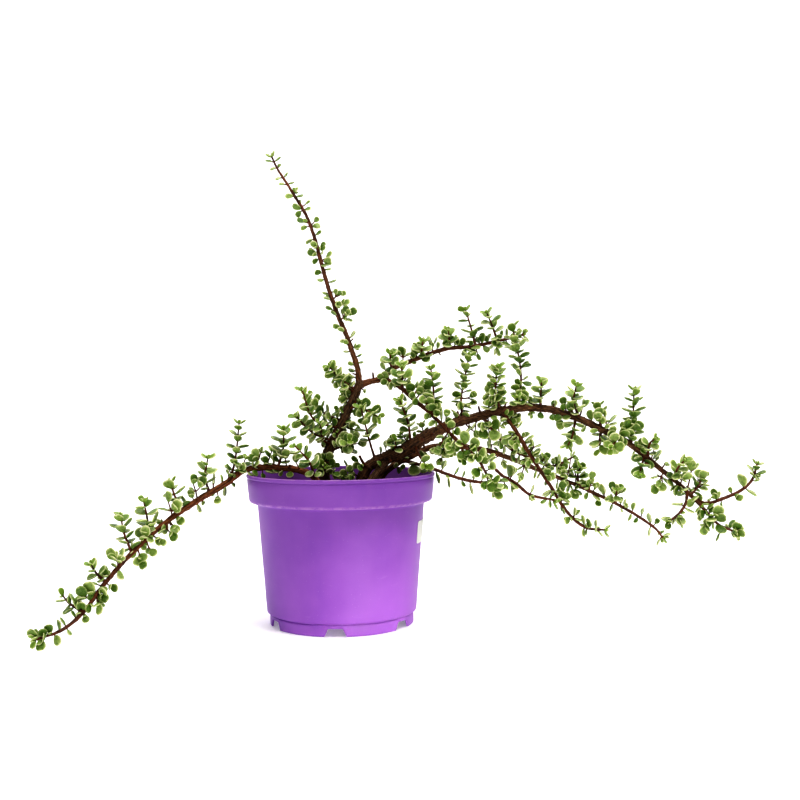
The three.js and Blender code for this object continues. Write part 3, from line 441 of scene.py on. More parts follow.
        (4.4, (12, -4, 6), 8, 46), (4.5, (-7, -3, -5), 7, 24), (4.6, (-11, -5, 0), 9, 38),
        (4.6, (4, -5, 2), 5, 64), (4.7, (-10, 3, 2), 7, 64), (4.8, (7, -5, 2), 7, 12),
        (4.8, (-4, -7, 7), 8, 0), (4.8, (8, -3, 5), 7, 60), (5.1, (-5, 3, -3), 5, 67),
        (5.2, (-9, -3, -4), 8, 56), (5.3, (6, -3, 3), 7, 52), (5.7, (9, 3, -3), 8, 56),
        (5.7, (8, -3, 7), 6, 0), (5.7, (-9, -3, -4), 7, 60), (5.8, (-12, -3, 1), 8, 70),
        (5.8, (-5, -5, 2), 5, 46), (6.3, (-7, -3, -6), 7, 24), (6.3, (-10, -3, 3), 9, 52),
        (6.3, (8, -3, 1), 7, 60), (6.4, (-2, 3, 7), 5, 78), (6.4, (8, 3, 6), 6, 76),
        (6.8, (-8, -3, -1), 8, 60), (6.8, (7, -3, 0), 7, 56), (6.9, (6, 3, 6), 7, 46),
        (7.3, (-8, -3, -1), 6, 76), (7.3, (5, 3, 3), 6, 67), (7.6, (-7, -3, -2), 6, 76),
        (7.6, (5, 3, 3), 6, 70), (8.1, (-6, -3, -1), 6, 76), (8.1, (4, 3, 3), 5, 67),
        (8.6, (-8, -3, -1), 7, 76), (8.6, (5, 3, 4), 7, 76),
    ],
    "shoot_left_top": [
        (0.43, (1, 3, 7), 7, 46), (0.50, (6, -5, 1), 7, 46), (0.58, (-3, -6, -7), 8, 0),
        (0.68, (-5, -7, -1), 7, 0), (0.87, (-5, -6, 5), 8, 0), (0.87, (5, -4, 6), 7, 24),
        (0.87, (-7, -5, -7), 7, 24), (1.07, (6, -7, 0), 7, 0), (1.15, (-5, 3, 1), 7, 56),
        (1.23, (-7, -4, -5), 7, 56), (1.42, (6, -4, 4), 7, 12), (1.63, (-7, -4, -4), 7, 56),
        (1.67, (3, 3, 4), 6, 56), (1.90, (-7, -3, -2), 6, 24), (1.95, (0, 3, 5), 5, 70),
    ],
    "upper_branch": [
        (2.8, (-2, -3, 10), 8, 70), (3.0, (-2, 3, 10), 8, 70), (3.1, (6, -6, 5), 7, 24),
        (3.7, (6, -5, 8), 7, 24), (3.7, (5, -4, -2), 5, 56), (4.1, (5, -6, 5), 7, 0),
        (4.1, (9, -3, -3), 9, 52), (4.2, (11, -5, 1), 9, 56), (4.3, (7, -4, 8), 5, 70),
        (4.7, (4, -4, 9), 7, 46), (5.3, (6, -4, 10), 8, 24), (5.4, (8, 3, 6), 7, 24),
        (5.6, (2, -4, 9), 8, 24), (5.7, (7, -5, -6), 11, 67), (5.7, (15, -6, -2), 10, 76),
        (5.8, (5, -4, 4), 6, 46), (5.8, (-4, -3, -8), 8, 46), (5.9, (4, 3, -10), 7, 64),
        (6.1, (3, -4, -14), 7, 56), (6.3, (3, -3, 10), 10, 64), (6.3, (-3, 3, 6), 7, 64),
        (6.4, (0, -5, -7), 8, 0), (6.5, (5, 4, 10), 8, 70), (6.6, (-1, -5, 5), 7, 24),
        (6.9, (-5, 3, -8), 7, 64), (7.0, (1, -5, 5), 7, 0), (7.0, (-5, -6, -4), 8, 0),
        (7.0, (1, -7, -9), 8, 0), (7.0, (9, -4, -6), 9, 70), (7.1, (2, 3, 10), 7, 70),
        (7.2, (3, -5, -6), 7, 46), (7.3, (7, 4, -10), 8, 64), (7.3, (4, -3, 10), 9, 64),
        (7.4, (6, -5, 4), 8, 46), (7.6, (2, -6, -7), 7, 24), (7.6, (6, -5, -6), 8, 56),
    ],
    "shoot_right_2": [
        (0.72, (15, 4, 2), 8, 60), (0.83, (-8, 3, 1), 8, 76), (0.83, (-4, -6, -5), 8, 38),
        (0.95, (-5, -3, 1), 6, 76), (0.98, (-7, -5, 5), 9, 46), (1.13, (9, 4, 3), 6, 70),
        (1.17, (3, -5, 8), 8, 0), (1.20, (-8, 3, 5), 8, 80),
    ],
    "shoot_right_3": [
        (0.37, (7, 4, 4), 7, 64), (0.38, (-8, 3, -2), 8, 56), (0.42, (-4, -7, -4), 7, 56),
        (0.50, (5, -4, -4), 7, 46), (0.55, (-5, -8, -1), 7, 0), (0.68, (9, -5, 2), 9, 60),
        (0.68, (-7, -4, -2), 8, 12), (0.68, (5, -6, -4), 8, 12), (0.82, (-10, -4, 2), 9, 70),
        (0.87, (-10, 3, 4), 10, 67), (0.87, (7, -4, -3), 8, 24), (0.95, (8, -3, 1), 8, 83),
        (0.95, (-6, -7, -2), 8, 0), (1.10, (-7, -3, 4), 8, 46), (1.15, (6, -4, -3), 8, 38),
        (1.20, (5, -5, 7), 8, 70), (1.20, (10, 2, 1), 8, 76), (1.53, (0, -6, 8), 8, 46),
        (1.72, (-9, -2, 5), 9, 70), (1.72, (10, 2, 3), 8, 80),
    ],
    "shoot_right_4": [
        (0.20, (8, -3, 1), 8, 64), (0.23, (7, -6, 7), 9, 12), (0.25, (-8, -4, 3), 8, 70),
        (0.33, (-2, -7, 6), 6, 0), (0.40, (-8, 3, 0), 8, 64), (0.45, (4, -4, 4), 6, 24),
        (0.48, (-9, -4, 5), 9, 46), (0.57, (-4, -6, 7), 8, 46), (0.73, (9, -3, -2), 9, 70),
        (0.78, (7, 4, 2), 6, 64), (0.83, (-4, -7, 8), 8, 46), (0.98, (-9, -4, 6), 9, 60),
        (1.07, (8, 2, 6), 9, 67),
    ],
}

# Sprays, where several leaves share a short twig: the place on the stem, the way from there to the twig's
# end, and the leaves, each with the way from the stem to its tip, its length and its turn.
SPRAYS = {
    "trailing_branch": [
        (3.5, (-1, -1, 6), [((-4, -5, 17), 10, 0), ((-9, -6, 10), 9, 0), ((-3, -9, 9), 7, 24),
            ((3, 2, 19), 6, 46)]),
        (4.4, (3, -3, 5), [((4, -7, 10), 6, 76), ((8, -7, 10), 8, 24)]),
        (5.4, (0, 0, 5), [((1, -5, 16), 10, 80), ((0, 6, 12), 8, 76)]),
        (5.8, (-1, -3, 8), [((10, -7, 19), 11, 0), ((-6, -2, 23), 9, 0), ((-6, -9, 11), 6, 86)]),
        (6.6, (0, -3, 6), [((9, -5, 15), 11, 0), ((8, -8, 7), 7, 0), ((-5, -5, 23), 10, 0),
            ((-11, -7, 8), 9, 83)]),
        (6.7, (3, -2, -4), [((9, -3, -10), 8, 24), ((5, -7, -11), 9, 24)]),
        (6.8, (1, -3, -5), [((10, -7, -15), 9, 0), ((-5, -10, -9), 8, 60)]),
        (7.3, (4, -1, -3), [((14, -4, -9), 8, 0), ((9, -5, -8), 8, 24)]),
        (7.4, (2, -1, 6), [((3, -5, 13), 9, 0), ((7, -3, 22), 12, 86)]),
        (7.5, (2, 0, -6), [((9, -5, -14), 9, 24), ((1, 4, -13), 7, 0)]),
        (7.8, (2, -2, -5), [((10, -5, -8), 9, 0), ((8, -7, -17), 9, 0), ((0, -4, -15), 8, 24)]),
        (8.5, (0, -2, 5), [((-8, -4, 16), 11, 0), ((5, -4, 17), 10, 56), ((-5, -8, 10), 8, 56),
            ((5, -8, 10), 8, 0)]),
        (9.6, (-3, -2, 3), [((-9, -7, 13), 11, 0), ((-11, -4, 4), 8, 67)]),
        (10.1, (-3, 1, 4), [((-7, 3, 10), 7, 76), ((-9, 4, 17), 10, 86)]),
    ],
    "low_branch": [
        (5.0, (1, -1, 3), [((4, -5, 12), 9, 64), ((1, -2, 13), 11, 80), ((7, -4, 10), 5, 76)]),
    ],
    "drooping_branch": [
        (0.3, (5, 0, -1), [((11, -5, -7), 8, 0), ((11, 3, 2), 7, 56)]),
        (1.3, (-4, -1, -2), [((-14, -6, -4), 11, 76), ((-13, -3, -11), 10, 46)]),
        (2.3, (4, -2, 5), [((3, -3, 13), 7, 76), ((11, -4, 8), 7, 78)]),
        (4.6, (3, 0, 1), [((9, -5, 7), 8, 0), ((10, 3, 1), 7, 46)]),
    ],
    "lower_branch": [
        (5.8, (1, -2, 6), [((-3, -5, 14), 7, 76), ((7, -4, 11), 7, 64)]),
        (7.3, (2, -2, 5), [((5, -4, 18), 8, 0), ((5, -5, 11), 8, 76)]),
        (7.9, (1, -1, 5), [((-2, -3, 24), 9, 76), ((3, -6, 16), 9, 46), ((-2, 4, 17), 8, 46),
            ((1, -8, 10), 9, 0), ((9, 3, 7), 6, 56)]),
        (8.0, (4, -2, 10), [((6, -4, 27), 6, 80), ((13, -5, 22), 8, 80), ((8, -6, 12), 8, 83)]),
        (8.3, (0, -2, -4), [((-5, -4, -11), 8, 0), ((0, -6, -14), 9, 0), ((6, -4, -10), 8, 64)]),
        (8.3, (1, -1, 7), [((-3, -6, 22), 8, 0), ((8, -5, 22), 8, 0), ((-7, -3, 15), 8, 86),
            ((10, -4, 12), 7, 86), ((-4, 3, 11), 8, 64)]),
        (8.7, (1, -1, 5), [((2, -4, 19), 8, 0), ((5, 3, 12), 7, 46), ((10, -4, 6), 7, 24),
            ((-2, -6, 11), 7, 0)]),
        (9.5, (2, -3, 7), [((-5, -3, 19), 10, 38), ((1, -6, 18), 9, 46), ((8, -8, 17), 9, 64),
            ((12, -7, 13), 8, 76), ((2, -9, 12), 7, 0)]),
    ],
    "trunk_right": [
        (1.5, (-6, -5, 3), [((-18, -8, 15), 8, 76), ((-20, -14, 4), 8, 24), ((-12, -16, -2), 8, 0),
            ((-14, -14, 10), 8, 0), ((-10, -10, 4), 8, 46)]),
        (2.0, (-6, -5, 2), [((-15, -8, 10), 8, 46), ((-10, -12, -2), 8, 0)]),
        (6.9, (-3, -4, -6), [((-6, -8, -11), 7, 70), ((-13, -8, -15), 8, 67), ((-4, -12, -18), 8, 56)]),
        (7.1, (1, -6, -6), [((-8, -14, -12), 10, 12), ((2, -16, -9), 10, 12), ((12, -17, -12), 11, 12),
            ((-5, -13, -21), 11, 0), ((9, -18, -22), 12, 0)]),
        (7.4, (3, -5, -9), [((8, -10, -15), 7, 64), ((5, -9, -9), 6, 76), ((6, -10, -33), 8, 56)]),
        (10.2, (4, 2, 10), [((5, 4, 18), 7, 80), ((11, 4, 16), 9, 80)]),
        (11.0, (-1, -1, 5), [((-3, -4, 21), 10, 0), ((-7, -5, 16), 10, 24), ((0, 4, 14), 8, 64),
            ((1, -7, 11), 8, 56)]),
        (11.1, (2, -1, 5), [((-1, -4, 19), 7, 76), ((10, -3, 15), 10, 86), ((11, -4, 7), 8, 78)]),
        (12.1, (0, -1, 8), [((-4, -5, 23), 10, 12), ((3, 3, 26), 7, 0), ((9, -4, 21), 10, 24),
            ((-7, 3, 21), 7, 46), ((4, -8, 19), 8, 0), ((-9, -6, 15), 8, 56), ((-3, -8, 15), 11, 46),
            ((2, 4, 12), 8, 64)]),
        (13.2, (3, 0, 4), [((5, 3, 8), 5, 76), ((7, -3, 5), 5, 80)]),
        (13.3, (-2, -1, -4), [((-13, -4, -6), 8, 76), ((-7, -6, -12), 6, 0), ((-12, -7, -19), 10, 0),
            ((-1, -5, -18), 9, 0), ((4, -4, -11), 8, 76), ((-6, 3, -4), 3, 86)]),
        (14.0, (0, -4, 5), [((-8, -10, 12), 10, 12), ((6, -11, 12), 10, 0)]),
        (14.3, (3, -4, 18), [((-2, -5, 31), 10, 24), ((3, -7, 28), 11, 12), ((11, -5, 24), 7, 76)]),
        (14.5, (6, -1, 7), [((8, 4, 23), 8, 24), ((13, -5, 22), 10, 0), ((15, -4, 13), 6, 80),
            ((15, -3, 5), 8, 80)]),
    ],
    "fork_back": [
        (1.3, (-2, -1, 1), [((-12, -2, 3), 10, 56), ((-5, -7, 3), 5, 0)]),
    ],
    "crossing_branch": [
        (0.4, (0, 1, 5), [((-7, 4, 17), 8, 64), ((6, 3, 10), 7, 64)]),
        (1.3, (1, -2, 6), [((-7, -5, 18), 9, 0), ((7, -6, 19), 9, 0), ((9, -4, 9), 8, 64)]),
        (1.9, (4, -1, 8), [((6, 4, 16), 8, 64), ((10, -6, 16), 9, 56)]),
        (2.0, (4, -3, 4), [((15, -7, 12), 11, 0), ((7, -9, 11), 9, 0)]),
        (2.5, (2, -3, 3), [((10, -10, 7), 10, 0), ((3, -10, 10), 10, 0)]),
        (2.7, (0, -3, 6), [((-8, -7, 13), 9, 0), ((6, -9, 12), 9, 0)]),
        (2.9, (1, -4, 3), [((0, -12, 10), 10, 0), ((7, -10, 4), 8, 0)]),
        (3.5, (2, -2, 4), [((3, -6, 15), 7, 0), ((5, -7, 8), 7, 0)]),
        (3.8, (-4, -2, -5), [((-12, -4, -19), 8, 0), ((-10, -6, -2), 8, 46)]),
        (4.0, (-1, 0, -5), [((-7, -6, -9), 8, 0), ((-1, 5, -18), 8, 24)]),
        (4.2, (-3, -2, -4), [((-7, -5, -15), 10, 0), ((-11, -8, -7), 10, 0), ((-7, -6, -12), 9, 24)]),
        (4.6, (0, -2, -5), [((-5, -4, -15), 8, 56), ((2, -6, -18), 7, 46), ((10, -6, -14), 12, 46),
            ((-1, -7, -9), 9, 24)]),
        (5.0, (3, -4, 2), [((9, -9, 9), 10, 0), ((6, -11, 3), 8, 24)]),
        (7.0, (5, -1, -5), [((11, -6, 0), 9, 52), ((12, -6, -14), 8, 24), ((16, -3, -13), 8, 46),
            ((19, 3, -6), 8, 64), ((8, -5, -23), 10, 24)]),
        (7.0, (1, -2, -5), [((-3, -4, -13), 8, 0), ((6, -8, -14), 11, 0)]),
    ],
    "trunk_left": [
        (1.6, (6, -17, -5), [((13, -24, -11), 9, 24), ((5, -26, -4), 8, 0)]),
        (1.8, (-1, -12, -1), [((-10, -16, 5), 8, 0), ((7, -20, 7), 9, 0), ((-13, -20, -4), 9, 24),
            ((-4, -22, -14), 9, 0), ((11, -22, -1), 9, 0)]),
        (2.7, (10, -6, -1), [((12, -12, 9), 9, 0), ((17, -16, -7), 10, 0), ((26, -14, 7), 9, 0),
            ((32, -16, -2), 9, 0), ((21, -10, -13), 9, 76)]),
    ],
    "upright_leader": [
        (2.6, (3, -1, 2), [((7, -3, 13), 8, 12), ((16, -5, 9), 9, 12), ((2, 3, 10), 6, 67),
            ((12, 3, 0), 7, 64), ((8, -5, 1), 6, 60), ((5, -6, 5), 6, 56)]),
        (3.2, (3, 0, 3), [((3, -4, 10), 6, 46), ((13, -3, 7), 6, 12), ((8, 4, 9), 8, 46)]),
    ],
    "upper_branch": [
        (3.4, (0, 0, 6), [((-2, -4, 17), 9, 38), ((-7, -5, 11), 6, 46), ((2, 3, 15), 9, 24),
            ((8, 4, 11), 7, 56)]),
        (4.0, (0, -1, 4), [((-3, -3, 16), 9, 46), ((3, 4, 16), 9, 24), ((6, -5, 13), 9, 0),
            ((-2, -7, 9), 7, 0)]),
        (4.6, (0, 0, 5), [((-4, -3, 16), 11, 76), ((4, 3, 15), 7, 83), ((0, -5, 11), 7, 38)]),
        (5.2, (-1, -1, 4), [((-7, -4, 18), 8, 24), ((2, 3, 19), 9, 76), ((-8, 3, 12), 8, 80),
            ((-7, -5, 7), 8, 38), ((7, -3, 13), 7, 64), ((4, -5, 11), 8, 24), ((-5, -7, 4), 5, 46)]),
        (7.0, (-1, 0, -6), [((-4, -3, -14), 8, 76), ((2, 3, -14), 9, 70)]),
        (7.5, (7, -1, 2), [((10, -3, 9), 7, 46), ((17, -4, 7), 5, 24), ((18, -3, -3), 7, 70)]),
    ],
    "shoot_right_2": [
        (0.81, (2, -2, -1), [((8, -6, -3), 7, 56), ((9, -6, -6), 7, 64)]),
        (0.97, (6, -1, 0), [((13, -7, 5), 8, 0), ((14, 4, -3), 7, 76)]),
    ],
    "shoot_right_3": [
        (0.48, (-5, -2, 1), [((-14, -5, 4), 8, 24), ((-14, -6, -1), 9, 38)]),
        (1.17, (-1, -1, 2), [((-8, -3, 10), 10, 67), ((-4, -6, 7), 7, 46)]),
    ],
}

# Dry stubs and bare twigs: a place on the stem, the way to the tip, and the radius.
STUBS = {
    "trunk_left": [
        (2.4, (-7, -3, 2), 0.8), (3.4, (-5, -4, 4), 0.7), (5.5, (-6, -5, 3), 0.8), (4.6, (5, -4, 3), 0.6),
    ],
    "trunk_right": [
        (1.95, (-7, -11, 11), 1.1), (4.7, (6, -6, 4), 1.3), (6.3, (-2, -2, 9), 0.9), (7.0, (-3, -3, 8), 0.9),
        (7.5, (-3, -2, 7), 0.8), (7.7, (2, -3, 6), 0.7), (5.2, (4, -7, 2), 1.2), (9.3, (1, -3, 5), 0.7),
        (11.4, (-3, -3, -5), 0.8), (12.9, (-8, -4, 0), 0.9), (13.3, (-5, -4, 4), 0.7),
        (3.5, (-3, -6, -5), 1.0),
    ],
    "upright_leader": [(0.6, (-5, -3, 1), 0.6), (1.9, (4, -2, 3), 0.5), (4.2, (4, -2, 3), 0.5)],
    "upper_branch": [(1.3, (-1, -3, 7), 0.8), (2.4, (1, -3, -5), 0.6), (4.8, (2, -3, -4), 0.5)],
    "lower_branch": [(3.6, (-2, -4, 6), 0.9), (4.6, (2, -5, 5), 0.7), (6.2, (1, -4, 5), 0.6)],
    "trailing_branch": [
        (2.5, (3, -5, 3), 0.9), (3.6, (-2, -4, 3), 0.8), (6.7, (2, -4, -4), 0.7), (8.9, (3, -3, 4), 0.6),
    ],
    "drooping_branch": [(1.6, (4, -2, 3), 0.6), (3.2, (-4, -3, 1), 0.5)],
    "low_branch": [(5.0, (-12, 3, 9), 1.2)],
}

# ---------------------------------------------------------------------------------------------------------
# Skins: a skin is (points, list of face index arrays, dict of values at the points)
# ---------------------------------------------------------------------------------------------------------


def unit(vectors):
    """The same directions with length 1."""
    return vectors / np.maximum(np.linalg.norm(vectors, axis=-1, keepdims=True), 1e-12)


def grid_faces(rows, columns, loop_rows=False):
    """Quads between neighbours on a grid whose columns close round. With loop_rows its rows close too."""
    row = np.arange(rows if loop_rows else rows - 1)[:, None]
    column = np.arange(columns)[None, :]
    next_row, next_column = (row + 1) % rows, (column + 1) % columns
    corners = [row * columns + column, row * columns + next_column,
               next_row * columns + next_column, next_row * columns + column]
    return np.stack(corners, -1).reshape(-1, 4)


def tube_faces(rings, sides):
    """Quads between rings and a fan of triangles at each end, for points ordered pole, rings, pole."""
    side = np.arange(sides)
    after = (side + 1) % sides
    last = 1 + (rings - 1) * sides
    near_fan = np.stack([np.zeros(sides, int), 1 + after, 1 + side], -1)
    far_fan = np.stack([np.full(sides, rings * sides + 1), last + side, last + after], -1)
    return [grid_faces(rings, sides) + 1, np.concatenate([near_fan, far_fan])]


def joined(skins):
    """Several skins as one. A value that a skin lacks is 0 there."""
    names = sorted({name for _, _, values in skins for name in values})
    starts = np.cumsum([0] + [len(points) for points, _, _ in skins])
    points = np.concatenate([points for points, _, _ in skins])
    faces = [f + start for (_, groups, _), start in zip(skins, starts) for f in groups]
    values = {}
    for name in names:
        wide = next(v[name].shape[1:] for _, _, v in skins if name in v)
        values[name] = np.concatenate([v.get(name, np.zeros((len(p),) + wide)) for p, _, v in skins])
    return points, faces, values


def outward(skin):
    """The skin with its faces turned to point out, judged by the sign of the volume that they close."""
    points, faces, values = skin
    volume = 0
    for group in faces:
        a = points[group[:, 0]]
        for k in range(1, group.shape[1] - 1):
            volume += np.sum(a * np.cross(points[group[:, k]], points[group[:, k + 1]]))
    return skin if volume > 0 else (points, [group[:, ::-1] for group in faces], values)


def piece(name, skin, finish, nodes):
    """Makes one smooth mesh object of a skin in mm. It stands for the CAD nodes, and rides on the body."""
    points, faces, values = skin
    mesh = bpy.data.meshes.new(name)
    mesh.vertices.add(len(points))
    mesh.vertices.foreach_set("co", (points * MM).astype(np.float32).ravel())
    counts = np.concatenate([np.full(len(group), group.shape[1]) for group in faces])
    corners = np.concatenate([group.ravel() for group in faces])
    mesh.loops.add(len(corners))
    mesh.loops.foreach_set("vertex_index", corners.astype(np.int32))
    mesh.polygons.add(len(counts))
    mesh.polygons.foreach_set("loop_start", (np.cumsum(counts) - counts).astype(np.int32))
    mesh.update(calc_edges=True)
    mesh.polygons.foreach_set("use_smooth", np.ones(len(counts), bool))
    for key, value in values.items():
        kind, field = ("FLOAT", "value") if value.ndim == 1 else ("FLOAT_VECTOR", "vector")
        mesh.attributes.new(key, kind, "POINT").data.foreach_set(field, value.astype(np.float32).ravel())
    mesh.materials.append(finish)
    made = bpy.data.objects.new(name, mesh)
    bpy.context.scene.collection.objects.link(made)
    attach(made, "root")
    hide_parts(*nodes)


# ---------------------------------------------------------------------------------------------------------
# Stems
# ---------------------------------------------------------------------------------------------------------


def smooth_route(route, places):
    """Points at places, counted in route points, on the smooth curve through a route.

    Each stretch is the cubic through its two ends whose slope at an end is half the step between that end's
    neighbours. A neighbour missing past an end is the point before the end, mirrored in it. Every column
    is carried along in the same way, so the radius runs with x, y and z.
    """
    route = np.asarray(route, float)
    points = np.vstack([2 * route[0] - route[1], route, 2 * route[-1] - route[-2]])
    start = np.clip(np.floor(places).astype(int), 0, len(route) - 2)
    t = (places - start)[:, None]
    before, a, b, after = (points[start + k] for k in range(4))
    slope_a, slope_b = (b - before) / 2, (after - a) / 2
    bend = 3 * (b - a) - 2 * slope_a - slope_b
    return a + slope_a * t + bend * t**2 + (2 * (a - b) + slope_a + slope_b) * t**3


PATH_STEPS = 24


class Path:
    """A route measured by the distance from its start, in mm. It is sampled PATH_STEPS times a stretch."""

    def __init__(self, route):
        spans = len(route) - 1
        self.places = np.linspace(0, spans, spans * PATH_STEPS + 1)
        self.table = smooth_route(route, self.places)
        steps = np.linalg.norm(np.diff(self.table[:, :3], axis=0), axis=1)
        self.far = np.concatenate([[0], np.cumsum(steps)])
        self.slope = np.gradient(self.table[:, :3], self.far, axis=0)
        self.length = self.far[-1]

    def distance(self, place):
        """The distance of a place that is counted in route points."""
        return float(np.interp(place, self.places, self.far))

    def at(self, far):
        """(points, tangents, radii) at distances along the path."""
        far = np.atleast_1d(np.asarray(far, float))
        columns = np.stack([np.interp(far, self.far, column) for column in self.table.T], 1)
        slope = np.stack([np.interp(far, self.far, column) for column in self.slope.T], 1)
        return columns[:, :3], unit(slope), columns[:, 3]


def square_to(tangent):
    """Two directions square to each tangent: one in the X-Z plane, and one that points along +-Y.

    Where the tangent runs along Y itself, to within some three degrees, the first of them is +X.
    """
    sine_limit = 0.05
    across = np.cross(tangent, [0.0, 1.0, 0.0])
    across[np.linalg.norm(across, axis=1) < sine_limit] = [1.0, 0.0, 0.0]
    across = unit(across)
    return across, unit(np.cross(across, tangent))


# Fine shape of a stem. Widths and lengths are in mm, swellings are shares of the radius, and the first
# node's place and a node's jitter are shares of the gap between nodes. The dome is its rings' latitudes.
DOME = np.radians([35, 65, 82])
FIRST_NODE = 0.7
NODE_JITTER = 0.15
RING_WIDTH, RING_SWELLING = 0.8, 0.06
SCAR_WIDTH, SCAR_SWELLING, SCAR_POWER = 1.1, 0.13, 8
# Lumps as (how often they come round the stem, length), and their swelling at a length of 1.
LUMPS = [(1, 31.0), (2, 17.0), (3, 11.0), (1, 7.3), (4, 5.1)]
LUMP_SWELLING = 0.02
FLARE_LENGTH = 5
# How far the last point stands out of the last ring, as a share of the tip's radius.
TIP_POINT = 0.02
# Radii at which the bark looks its youngest and its oldest.
YOUNG_RADIUS = 0.7
OLD_RADIUS = 4.0


def age_of(radius):
    """How old the bark looks at a radius: 0 on the thinnest twigs, 1 on the trunks."""
    return np.clip((radius - YOUNG_RADIUS) / (OLD_RADIUS - YOUNG_RADIUS), 0, 1)


def stem_skin(path, sides, step, ruddy, rng, node_gap=8.0, relief=1.0, flare=0.0):
    """Skin of a stem all along its path, closed by a dome at the tip.

    The radius is the route's own, times 1 plus four swellings: a flare that fades away from the base; a
    ring round each node; two raised scars at each node, a quarter turn on from node to node, each a bell
    in distance times a power of the cosine of the angle to it; and long soft lumps, a sum of cosines of
    angle and distance. The grain is the point laid out straight, with the distance as its Z, in metres.
    """
    body = np.linspace(0, path.length, max(4, int(path.length / step)))
    centre, tangent, radius = path.at(body)
    end = radius[-1]
    beyond = end * np.sin(DOME)
    centre = np.concatenate([centre, centre[-1] + tangent[-1] * beyond[:, None]])
    far = np.concatenate([body, body[-1] + beyond])
    radius = np.concatenate([radius, end * np.cos(DOME)])
    tangent = np.concatenate([tangent, np.repeat(tangent[-1:], len(DOME), 0)])
    across, depth = square_to(tangent)
    angle = np.arange(sides) / sides * TURN

    nodes = np.arange(node_gap * FIRST_NODE, path.length, node_gap)
    nodes = nodes + rng.uniform(-NODE_JITTER, NODE_JITTER, len(nodes)) * node_gap
    apart = far[:, None] - nodes[None, :]
    rings = np.exp(-((apart / RING_WIDTH) ** 2)).sum(1)
    scar_angle = np.arange(len(nodes)) * TURN / 4 + rng.uniform(0, TURN)
    facing = np.cos(angle[None, :] - scar_angle[:, None]) ** SCAR_POWER
    scars = np.exp(-((apart / SCAR_WIDTH) ** 2)) @ facing
    lumps = np.zeros((len(far), sides))
    for turns, pitch in LUMPS:
        swing = turns * angle[None, :] + far[:, None] / pitch * TURN + rng.uniform(0, TURN)
        lumps += np.cos(swing) * LUMP_SWELLING * pitch**0.25
    swell = 1 + flare * np.exp(-far / FLARE_LENGTH)[:, None]
    swell = swell + relief * (RING_SWELLING * rings[:, None] + SCAR_SWELLING * scars + lumps)
    ring_radius = radius[:, None] * swell

    spoke = np.cos(angle)[None, :, None] * across[:, None, :]
    spoke = spoke - np.sin(angle)[None, :, None] * depth[:, None, :]
    rings_at = centre[:, None, :] + spoke * ring_radius[:, :, None]
    near_pole, far_pole = centre[:1], centre[-1:] + tangent[-1:] * end * TIP_POINT
    points = np.concatenate([near_pole, rings_at.reshape(-1, 3), far_pole])
    grain = np.stack([ring_radius * np.cos(angle), ring_radius * np.sin(angle),
                      np.repeat(far[:, None], sides, 1)], -1).reshape(-1, 3)
    grain = np.concatenate([[[0, 0, 0]], grain, [[0, 0, far[-1]]]]) * MM
    grain = grain + rng.uniform(0, 1, 3)
    age = age_of(np.repeat(radius, sides))
    age[-len(DOME) * sides:] = age_of(end)
    age = np.concatenate([age[:1], age, age[-1:]])
    values = {"grain": grain, "age": age, "ruddy": np.full(len(points), float(ruddy))}
    return outward((points, tube_faces(len(far), sides), values))


def twig_path(base, way, thick, thin):
    """A short side growth from a point: it leaves flatter than it ends, so its middle sags a little."""
    sag = 0.07
    base, way = np.asarray(base, float), np.asarray(way, float)
    reach = np.linalg.norm(way)
    middle = base + way * 0.5 - np.array([0, 0, sag * reach])
    return Path([(*base, thick), (*middle, (thick + thin) / 2), (*(base + way), thin)])


def twig_skin(path, ruddy, rng):
    """Skin of a twig or spur, which needs fewer points than a stem and has lower scars."""
    return stem_skin(path, sides=6, step=1.5, ruddy=ruddy, rng=rng, relief=0.6)


# ---------------------------------------------------------------------------------------------------------
# Leaves
# ---------------------------------------------------------------------------------------------------------

# Where a leaf has points: angles round its section, and shares along it.
LEAF_ROUND = np.radians([0, 21, 54, 90, 126, 159, 180, 201, 234, 270, 306, 339])
LEAF_RINGS = np.array([0.04, 0.15, 0.32, 0.52, 0.72, 0.88, 0.965])
# Its outline's powers at base and tip, where it is widest, and its thickness above and below its middle.
BASE_POWER, TIP_POWER, WIDEST = 0.68, 0.45, 0.6
ABOVE, BELOW, THICKNESS_POWER = 0.38, 0.62, 0.4


def leaf_form():
    """A unit leaf: shares along, across and thick of each point, and how near the point is to the margin.

    With t the share along the leaf, its half width goes as t to the base power times (1 - t) to the tip
    power, so it is a wedge at its base, broadest at three fifths and round at its tip. Its section is an
    ellipse that is flatter above than below. The margin value is the share across, or nearness to the tip
    if more. It fades towards the base, and is a little less underneath: painted shade that darkens the
    leaf's underside.
    """
    # The last of these cuts back the pale margin on the underside: painted shade that makes it look darker.
    tip_from, tip_run, base_run, underside_shade = 0.55, 0.42, 0.12, 0.84
    t, angle = LEAF_RINGS[:, None], LEAF_ROUND[None, :]
    width = t**BASE_POWER * (1 - t) ** TIP_POWER / (WIDEST**BASE_POWER * (1 - WIDEST) ** TIP_POWER)
    depth = (4 * t * (1 - t)) ** THICKNESS_POWER
    across = np.cos(angle) * width
    thick = np.where(np.sin(angle) > 0, ABOVE, BELOW) * np.sin(angle) * depth
    margin = np.maximum(np.abs(np.cos(angle)), np.clip((t - tip_from) / tip_run, 0, 1))
    margin = margin * np.clip(t / base_run, 0, 1) * np.where(np.sin(angle) < -0.1, underside_shade, 1)
    grid = np.stack([np.broadcast_to(t, across.shape), across, thick, margin], -1).reshape(-1, 4)
    return np.concatenate([[[0, 0, 0, 0.0]], grid, [[1, 0, 0, 1.0]]])


LEAF_FORM = leaf_form()
LEAF_FACES = tube_faces(len(LEAF_RINGS), len(LEAF_ROUND))

# Half width as a share of the length, from least to most, and how much slimmer the youngest leaf is.
HALF_WIDTH = (0.38, 0.5)
SLIMMER = 0.2
